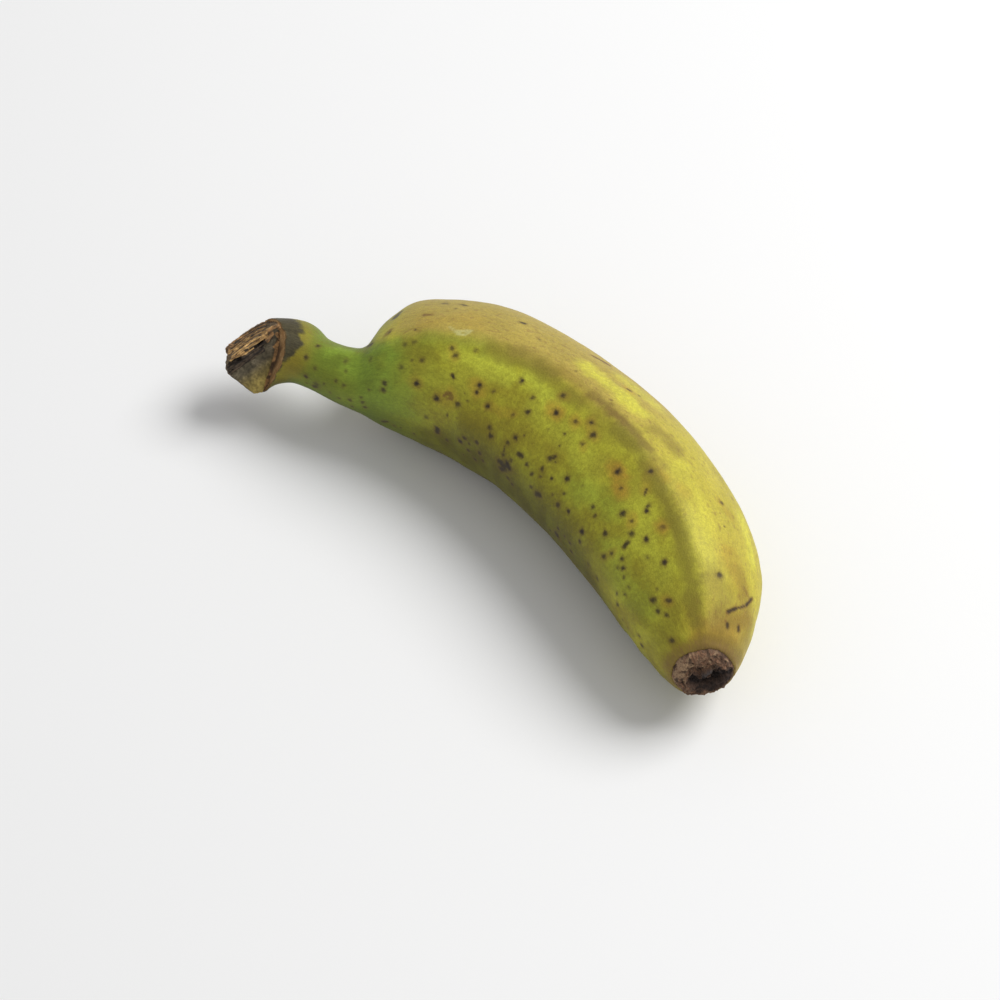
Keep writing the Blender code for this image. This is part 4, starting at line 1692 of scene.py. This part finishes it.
@dataclass
class TornStalk:
    """The stub beyond the rim: two torn faces that meet in a fibrous crest."""

    crest_tip: Point = (-61.1, -24.6, 17.7)
    lower: Point = (0.60, -0.51, 0.61)
    upper: Point = (-0.63, -0.11, 0.77)
    end: tuple[Point, Point] = ((-63.2, -23.2, 16.2), (-0.75, -0.66, 0.0))
    corner: tuple[Point, Point] = ((-60.5, -25.8, 15.2), (-0.03, -0.90, -0.43))
    crack_start: Point = (-61.2, -28.2, 14.8)
    crack_end: Point = (-57.6, -16.8, 20.8)
    crack_depth: float = 0.9
    notch: Pixel = (230, 358)
    notch_depth: float = 1.0
    tips: tuple[Pixel, ...] = ((228, 349), (228, 367))
    tip_height: float = 0.5
    tucked_in: float = 2.0
    grain: float = 0.145
    wiggle: float = 0.10
    sides: int = 96
    rings: int = 40
    run: float = 26.0
    share: float = 0.985
    thinner: float = 0.55
    scatter: float = 0.7
    fibre_end: float = 0.45
    lump_waves: float = 0.5
    fine_waves: float = 1.7
    thread_stretch: Point = (0.3, 2.4, 2.4)
    lump_height: float = 0.09
    fine_height: float = 0.06
    thread_height: float = 0.07
    thread_height_above: float = 0.20
    groove_depth: float = 0.15
    face_edge: Range = (0.9, 0.2)
    end_edge: Range = (1.6, 0.4)
    fibre_edge: Range = (1.8, 0.9)
    crack_edge: Range = (1.7, 0.6)
    notch_edge: Range = (1.9, 0.3)
    tip_edge: Range = (1.5, 0.3)
    low_edge: Range = (2.0, 9.0)
    outline: Range = (4.0, 5.8)
    seed: int = 5

    def cut(self, mesh: bmesh.types.BMesh, point: Point, normal: Point) -> None:
        """Slices off what lies beyond a plane, and closes the cut.

        Args:
            mesh: The mesh.
            point: A point on the plane.
            normal: The way out of what stays.
        """
        geometry = mesh.verts[:] + mesh.edges[:] + mesh.faces[:]
        cut = bmesh.ops.bisect_plane(
            mesh, geom=geometry, plane_co=point, plane_no=normal, clear_outer=True
        )["geom_cut"]
        edges = [item for item in cut if isinstance(item, bmesh.types.BMEdge)]
        bmesh.ops.contextual_create(mesh, geom=edges)

    def wedge(self) -> bmesh.types.BMesh:
        """Cuts the stub's plain wedge, which runs on a little way inside the peel.

        Returns:
            The wedge, in millimetres.
        """
        mesh = closed_tube(self.sides, self.rings)
        tube = np.array([vertex.co for vertex in mesh.verts])
        along = tube[:, 2] * self.run / (self.rings - 1)
        for vertex, point in zip(mesh.verts, FORM.skin(along, angle_of(tube), self.share)):
            vertex.co = point
        rim = np.array(FORM.rim_point) + np.array(FORM.rim_normal) * self.tucked_in
        for point, normal in (
            (rim, FORM.rim_normal),
            (self.crest_tip, self.lower),
            (self.crest_tip, self.upper),
            self.end,
            self.corner,
        ):
            self.cut(mesh, point, normal)
        bmesh.ops.recalc_face_normals(mesh, faces=mesh.faces)
        return mesh

    def fibres(self, wedge: Surface) -> LaidFibres:
        """Lays the strands on the wedge, each with a thinner one beside it.

        Args:
            wedge: The plain wedge.

        Returns:
            Each fibre with its line.
        """
        tree, random = wedge.tree(), np.random.default_rng(self.seed)
        made = []
        for strand in STRANDS:
            line = [VIEW.locate(tree, at) for at in strand.line]
            for thickness in (1.0, self.thinner):
                shift = (1 - thickness) * random.normal(0.0, self.scatter, 3)
                loose = [at + shift + random.normal(0.0, self.wiggle, 3) for at in line]
                laid = [np.array(tree.find_nearest(Vector(at))[0]) for at in loose]
                fibre = Strand(strand.line, strand.radius * thickness, strand.kind)
                made.append((fibre, laid))
        return made

    def tubes(self, fibres: LaidFibres) -> bpy.types.Mesh:
        """Makes one tapered tube for each fibre.

        Args:
            fibres: The fibres and their lines.

        Returns:
            A mesh of all the tubes.
        """
        data = bpy.data.curves.new("fibres", "CURVE")
        data.dimensions = "3D"
        data.bevel_depth = 1.0
        data.bevel_resolution = 2
        data.resolution_u = 4
        data.use_fill_caps = True
        for strand, line in fibres:
            spline = data.splines.new("NURBS")
            last = len(line) - 1
            spline.points.add(last)
            spline.order_u = 3
            spline.use_endpoint_u = True
            for i, (point, place) in enumerate(zip(spline.points, line)):
                point.co = (*place, 1.0)
                point.radius = strand.radius * (self.fibre_end if i in (0, last) else 1.0)
        curve = bpy.data.objects.new("fibres", data)
        bpy.context.scene.collection.objects.link(curve)
        graph = bpy.context.evaluated_depsgraph_get()
        mesh = bpy.data.meshes.new_from_object(curve.evaluated_get(graph))
        bpy.data.objects.remove(curve)
        return mesh

    def fine(self) -> tuple[Surface, LaidFibres]:
        """Joins the wedge and its fibres in small even faces, ready for relief.

        Returns:
            The stub, in millimetres, and the fibres on it.
        """
        plain = Surface("wedge", self.wedge())
        fibres = self.fibres(plain)
        joined = bmesh.new()
        joined.from_mesh(plain.mesh)
        joined.from_mesh(self.tubes(fibres))
        bpy.data.objects.remove(plain.piece)
        rough = Surface("joined", joined)
        remesh = rough.piece.modifiers.new("even", "REMESH")
        remesh.mode = "VOXEL"
        remesh.voxel_size = self.grain
        even = bmesh.new()
        even.from_object(rough.piece, bpy.context.evaluated_depsgraph_get())
        bpy.data.objects.remove(rough.piece)
        self.drop_loose(even)
        axes = {"use_axis_x": True, "use_axis_y": True, "use_axis_z": True}
        bmesh.ops.smooth_vert(even, verts=even.verts, factor=0.5, **axes)
        return Surface("torn_stalk", even), fibres

    def drop_loose(self, mesh: bmesh.types.BMesh) -> None:
        """Deletes every splinter that isn't joined to the largest piece of a mesh.

        Args:
            mesh: The mesh.
        """
        left = set(mesh.verts)
        islands = []
        while left:
            island, front = set(), {left.pop()}
            while front:
                island |= front
                edges = [(edge, vertex) for vertex in front for edge in vertex.link_edges]
                front = {edge.other_vert(vertex) for edge, vertex in edges} - island
            left -= island
            islands.append(island)
        kept = max(islands, key=len)
        loose = [vertex for vertex in mesh.verts if vertex not in kept]
        bmesh.ops.delete(mesh, geom=loose, context="VERTS")

    def laid(self, surface: Surface, fibres: LaidFibres) -> dict[Fibre, np.ndarray]:
        """Keeps how much of each kind of fibre every point is.

        Args:
            surface: The even stub.
            fibres: The fibres and their lines.

        Returns:
            The same shares, by kind.
        """
        points = surface.points()
        held = {kind: np.zeros(len(points)) for kind in Fibre}
        for strand, line in fibres:
            gone = line_distance(points, line) / strand.radius
            near = smoothstep(*self.fibre_edge, gone)
            held[strand.kind] = np.maximum(held[strand.kind], near)
        for kind, share in held.items():
            surface.hold(kind.value, share)
        return held

    def relief(self, surface: Surface, fibres: LaidFibres) -> np.ndarray:
        """Roughens the faces, sinks the crack, and keeps the fields for the material.

        Args:
            surface: The even stub.
            fibres: The fibres and their lines.

        Returns:
            The shaped points, in millimetres.
        """
        points = surface.points()
        low, up = unit(self.lower), unit(self.upper)
        crest = unit(np.cross(self.upper, self.lower))
        away = points - np.array(self.crest_tip)
        on_low = smoothstep(*self.face_edge, -(away @ low))
        on_up = smoothstep(*self.face_edge, -(away @ up))
        lumps = roughness_at(points, self.lump_waves)
        fine = roughness_at(points, self.fine_waves)
        run = [away @ way * stretch for way, stretch in zip((crest, low, up), self.thread_stretch)]
        threads = roughness_at(np.stack(run, axis=-1), 1.0)
        surface.hold("fibre_place", np.stack(run, axis=-1))
        held = self.laid(surface, fibres)
        light = np.maximum(held[Fibre.TAN], held[Fibre.RUST])
        body = 1 - np.maximum(light, held[Fibre.DARK])
        crack_line = [np.array(self.crack_start), np.array(self.crack_end)]
        from_crack = line_distance(points, crack_line) + 0.5 * lumps
        end_point, end_way = (np.array(part) for part in self.end)
        on_end = smoothstep(*self.end_edge, -((points - end_point) @ end_way))
        crack = smoothstep(*self.crack_edge, from_crack)
        crack *= np.maximum(on_low, on_end) * (1 - light)
        push = self.lump_height * lumps + self.fine_height * fine
        push += self.thread_height_above * threads * on_up * body
        bumps = [(self.notch, -self.notch_depth, self.notch_edge)]
        bumps += [(tip, self.tip_height, self.tip_edge) for tip in self.tips]
        for pixel, height, edge in bumps:
            place = VIEW.on_plane(pixel, end_point, end_way)
            near = np.linalg.norm(points - place, axis=1) + 0.3 * lumps
            push += height * smoothstep(*edge, near)
        push += self.thread_height * threads
        push -= crack * self.crack_depth * (0.7 + 0.6 * threads) * body
        rim = (points - np.array(FORM.rim_point)) @ np.array(FORM.rim_normal)
        groove = smoothstep(-0.5, 0.0, rim + 0.4 * lumps)
        push -= self.groove_depth * groove
        below = np.abs(away @ np.cross(low, crest))
        beyond = np.abs(away @ np.cross(up, crest))
        surface.hold("crack", crack)
        surface.hold("groove", groove)
        surface.hold("upper_face", np.clip(1 - on_low + 0.3 * on_up, 0, 1))
        surface.hold("low_edge", on_low * smoothstep(*self.low_edge, below))
        surface.hold("outline", smoothstep(*self.outline, beyond) * on_up)
        return points + surface.normals() * push[:, None]

    def build(self) -> bpy.types.Object:
        """Builds the stub.

        Returns:
            The piece.
        """
        surface, fibres = self.fine()
        surface.move(self.relief(surface, fibres) * MM)
        return surface.finish(TornFinish().make(), "torn_stalk")


@dataclass(frozen=True)
class Pit:
    """A hollow in the scar: its line of photograph pixels, its reach and its depth."""

    line: tuple[Pixel, ...]
    reach: float
    depth: float


@dataclass
class BlossomScar:
    """The corky disc at the blossom end, with hollows and a nub in its middle."""

    sides: int = 200
    rings: int = 96
    under: int = 10
    share: float = 0.85
    sunk: float = 1.6
    middle_height: float = 1.8
    pits: tuple[Pit, ...] = (
        Pit(((692, 682), (699, 684), (709, 683)), 1.0, 0.95),
        Pit(((716, 677), (722, 674), (729, 675)), 0.95, 0.8),
        Pit(((708, 683), (717, 679)), 0.85, 0.8),
        Pit(((692, 669), (701, 671)), 0.8, 0.22),
        Pit(((713, 666), (722, 670)), 0.7, 0.2),
        Pit(((682, 678), (683, 687)), 0.40, 0.35),
        Pit(((698, 690), (712, 688), (722, 683), (729, 677)), 1.2, 0.4),
        Pit(((704, 677), (714, 673), (722, 671)), 0.55, 0.4),
        Pit(((700, 652), (718, 659), (727, 666)), 0.45, 0.25),
    )
    heart: tuple[Pixel, ...] = ((697, 682), (709, 682), (723, 677))
    heart_reach: float = 3.7
    nub: tuple[Pixel, Pixel] = ((704, 675), (710, 671))
    nub_reach: float = 0.8
    nub_height: float = 0.9
    profile: tuple[tuple[float, float], ...] = (
        (0.0, 1.4), (0.32, 1.4), (0.50, 1.8), (0.67, 2.15),
        (0.80, 2.15), (0.90, 1.8), (0.96, 1.35), (1.0, 0.5),
    )
    inmost: Range = (0.1, 0.004)
    rim_fading: Range = (1.0, 0.93)
    lean_up: float = 0.22
    lump_waves: float = 0.4
    fine_waves: float = 1.5
    folds_out: float = 8.0
    folds_round: float = 3.0
    folds_lumps: float = 1.2
    crease_waves: float = 2.4
    fold_height: float = 0.34
    crease_height: float = 0.16
    lump_height: float = 0.12
    fine_height: float = 0.18
    near_share: float = 0.3
    far_share: float = 1.5
    # How dark a pit is painted, at no depth and per unit of depth: partly painted shade.
    hollow_share: Range = (0.48, 0.65)
    fissure: Range = (0.1, -0.6)
    dark_rim: Range = (0.95, 1.0)
    highlight_angle: float = 150.0
    highlight_reach: Range = (60.0, 15.0)
    highlight_from: Range = (0.35, 0.75)

    def way_out(self, ring: np.ndarray) -> np.ndarray:
        """How far out each ring is, on the hidden underside and then on the top.

        Args:
            ring: Numbers of rings.

        Returns:
            Shares of the way out from the middle.
        """
        least, top_least = self.inmost
        under = least + (1 - least) * ring / self.under
        above = (self.rings - 1 - ring) / (self.rings - 1 - self.under)
        return np.where(ring < self.under, under, np.clip(above, top_least, 1.0))

    def build(self) -> bpy.types.Object:
        """Shapes the scar and keeps what its material reads.

        Returns:
            The piece.
        """
        surface = Surface("blossom_scar", closed_tube(self.sides, self.rings))
        tube = surface.points()
        ring, degrees = np.rint(tube[:, 2]).astype(int), angle_of(tube)
        out, top = self.way_out(ring), ring >= self.under
        centre, run = (found[0] for found in FORM.guide(np.array([FORM.length()])))
        reach = out * self.share * FORM.scar_edge(degrees)
        place = FORM.skin(np.full(len(tube), FORM.length()), degrees, reach)
        lumps = roughness_at(place, self.lump_waves)
        fine = roughness_at(place, self.fine_waves, 4)
        angle = np.radians(degrees)
        cork = [out * self.folds_out + self.folds_lumps * lumps]
        cork += [self.folds_round * np.cos(angle), self.folds_round * np.sin(angle)]
        cork = np.stack(cork, axis=-1)
        folds = roughness_at(cork, 1.0)
        creases = roughness_at(self.crease_waves * cork, 1.0)
        inside = smoothstep(*self.rim_fading, out)
        bumps = (self.fold_height * folds + self.crease_height * creases) * inside
        bumps += self.lump_height * lumps + self.fine_height * fine
        domed = np.interp(out, *np.array(self.profile).T)
        height = np.where(top, domed, -self.sunk) + top * bumps
        facing = unit([*run[:2], self.lean_up])
        seat, level = centre + run * self.middle_height, place + run * self.middle_height

        def distance(pixels: Sequence[Pixel]) -> np.ndarray:
            """How far each point is from a line of photograph pixels."""
            return line_distance(level, [VIEW.on_plane(at, seat, facing) for at in pixels])

        hollow = np.zeros(len(tube))
        for pit in self.pits:
            away = distance(pit.line) + 0.35 * lumps + 0.15 * fine
            sunk = smoothstep(self.far_share * pit.reach, self.near_share * pit.reach, away)
            height -= top * sunk * pit.depth
            # Partly painted shade: a pit's darkness grows with its depth, as its shade would.
            dark = self.hollow_share[0] + self.hollow_share[1] * pit.depth
            hollow = np.maximum(hollow, sunk * min(1.0, dark))
        near_nub = distance(self.nub) + 0.2 * fine
        nub = smoothstep(self.nub_reach, self.near_share * self.nub_reach, near_nub)
        height += top * nub * self.nub_height
        surface.move((place + run * height[:, None]) * MM)
        near = distance(self.heart) + 0.5 * lumps
        heart = smoothstep(self.heart_reach, self.near_share * self.heart_reach, near)
        surface.hold("heart", heart)
        rim = smoothstep(*self.dark_rim, out)
        surface.hold("fissure", smoothstep(*self.fissure, folds) + 0.5 * rim)
        # Painted highlight: the scar's upper side, where the light falls, is made paler.
        turned = np.abs((degrees - self.highlight_angle + 180.0) % 360.0 - 180.0)
        lit = smoothstep(*self.highlight_reach, turned)
        surface.hold("painted_highlight_side", lit * smoothstep(*self.highlight_from, out))
        surface.hold("folds", cork)
        surface.hold("pit", hollow * (1 - nub))
        surface.hold("nub", nub)
        return surface.finish(ScarFinish().make(), "blossom_scar")


@dataclass(frozen=True)
class Studio:
    """A pale floor, a soft key light from behind on the right, and an even sky."""

    floor_side: float = 6000.0
    floor_drop: float = 0.05
    key_from: Point = (0.32, 0.55, 0.77)
    key_distance: float = 1100.0
    key_side: float = 700.0
    key_watts: float = 10.4
    sky: float = 0.48

    def floor(self) -> None:
        """Lays the floor, a hair below the fruit's flat spot."""
        plane = bmesh.new()
        bmesh.ops.create_grid(plane, x_segments=1, y_segments=1, size=self.floor_side / 2)
        surface = Surface("floor", plane)
        surface.move((surface.points() - np.array([0.0, 0.0, self.floor_drop])) * MM)
        surface.mesh.materials.append(FloorFinish().make())

    def key(self) -> None:
        """Hangs the soft key light."""
        data = bpy.data.lights.new("key", "AREA")
        data.shape = "DISK"
        data.size = self.key_side * MM
        data.energy = self.key_watts
        light = bpy.data.objects.new("key", data)
        bpy.context.scene.collection.objects.link(light)
        toward = unit(self.key_from)
        light.location = Vector((np.array(VIEW.aim) + toward * self.key_distance) * MM)
        light.rotation_mode = "QUATERNION"
        light.rotation_quaternion = Vector(toward).to_track_quat("Z", "Y")

    def sky_light(self) -> None:
        """Lights the sky an even white, which fills the shadows."""
        world = bpy.data.worlds.new("studio")
        world.use_nodes = True
        background = world.node_tree.nodes["Background"]
        background.inputs["Color"].default_value = (1.0, 1.0, 1.0, 1.0)
        background.inputs["Strength"].default_value = self.sky
        bpy.context.scene.world = world

    def set_up(self) -> None:
        """Builds the studio, and shows colours as they are."""
        self.floor()
        self.key()
        self.sky_light()
        bpy.context.scene.view_settings.view_transform = "Standard"


def main() -> None:
    """Builds the fruit and the studio, in order."""
    logging.basicConfig(level=logging.INFO, format="%(name)s: %(message)s")
    for part in (Peel(), TornStalk(), BlossomScar()):
        LOG.info("built %s", part.build().name)
    Studio().set_up()
    VIEW.set_up()


if __name__ == "__main__":
    main()
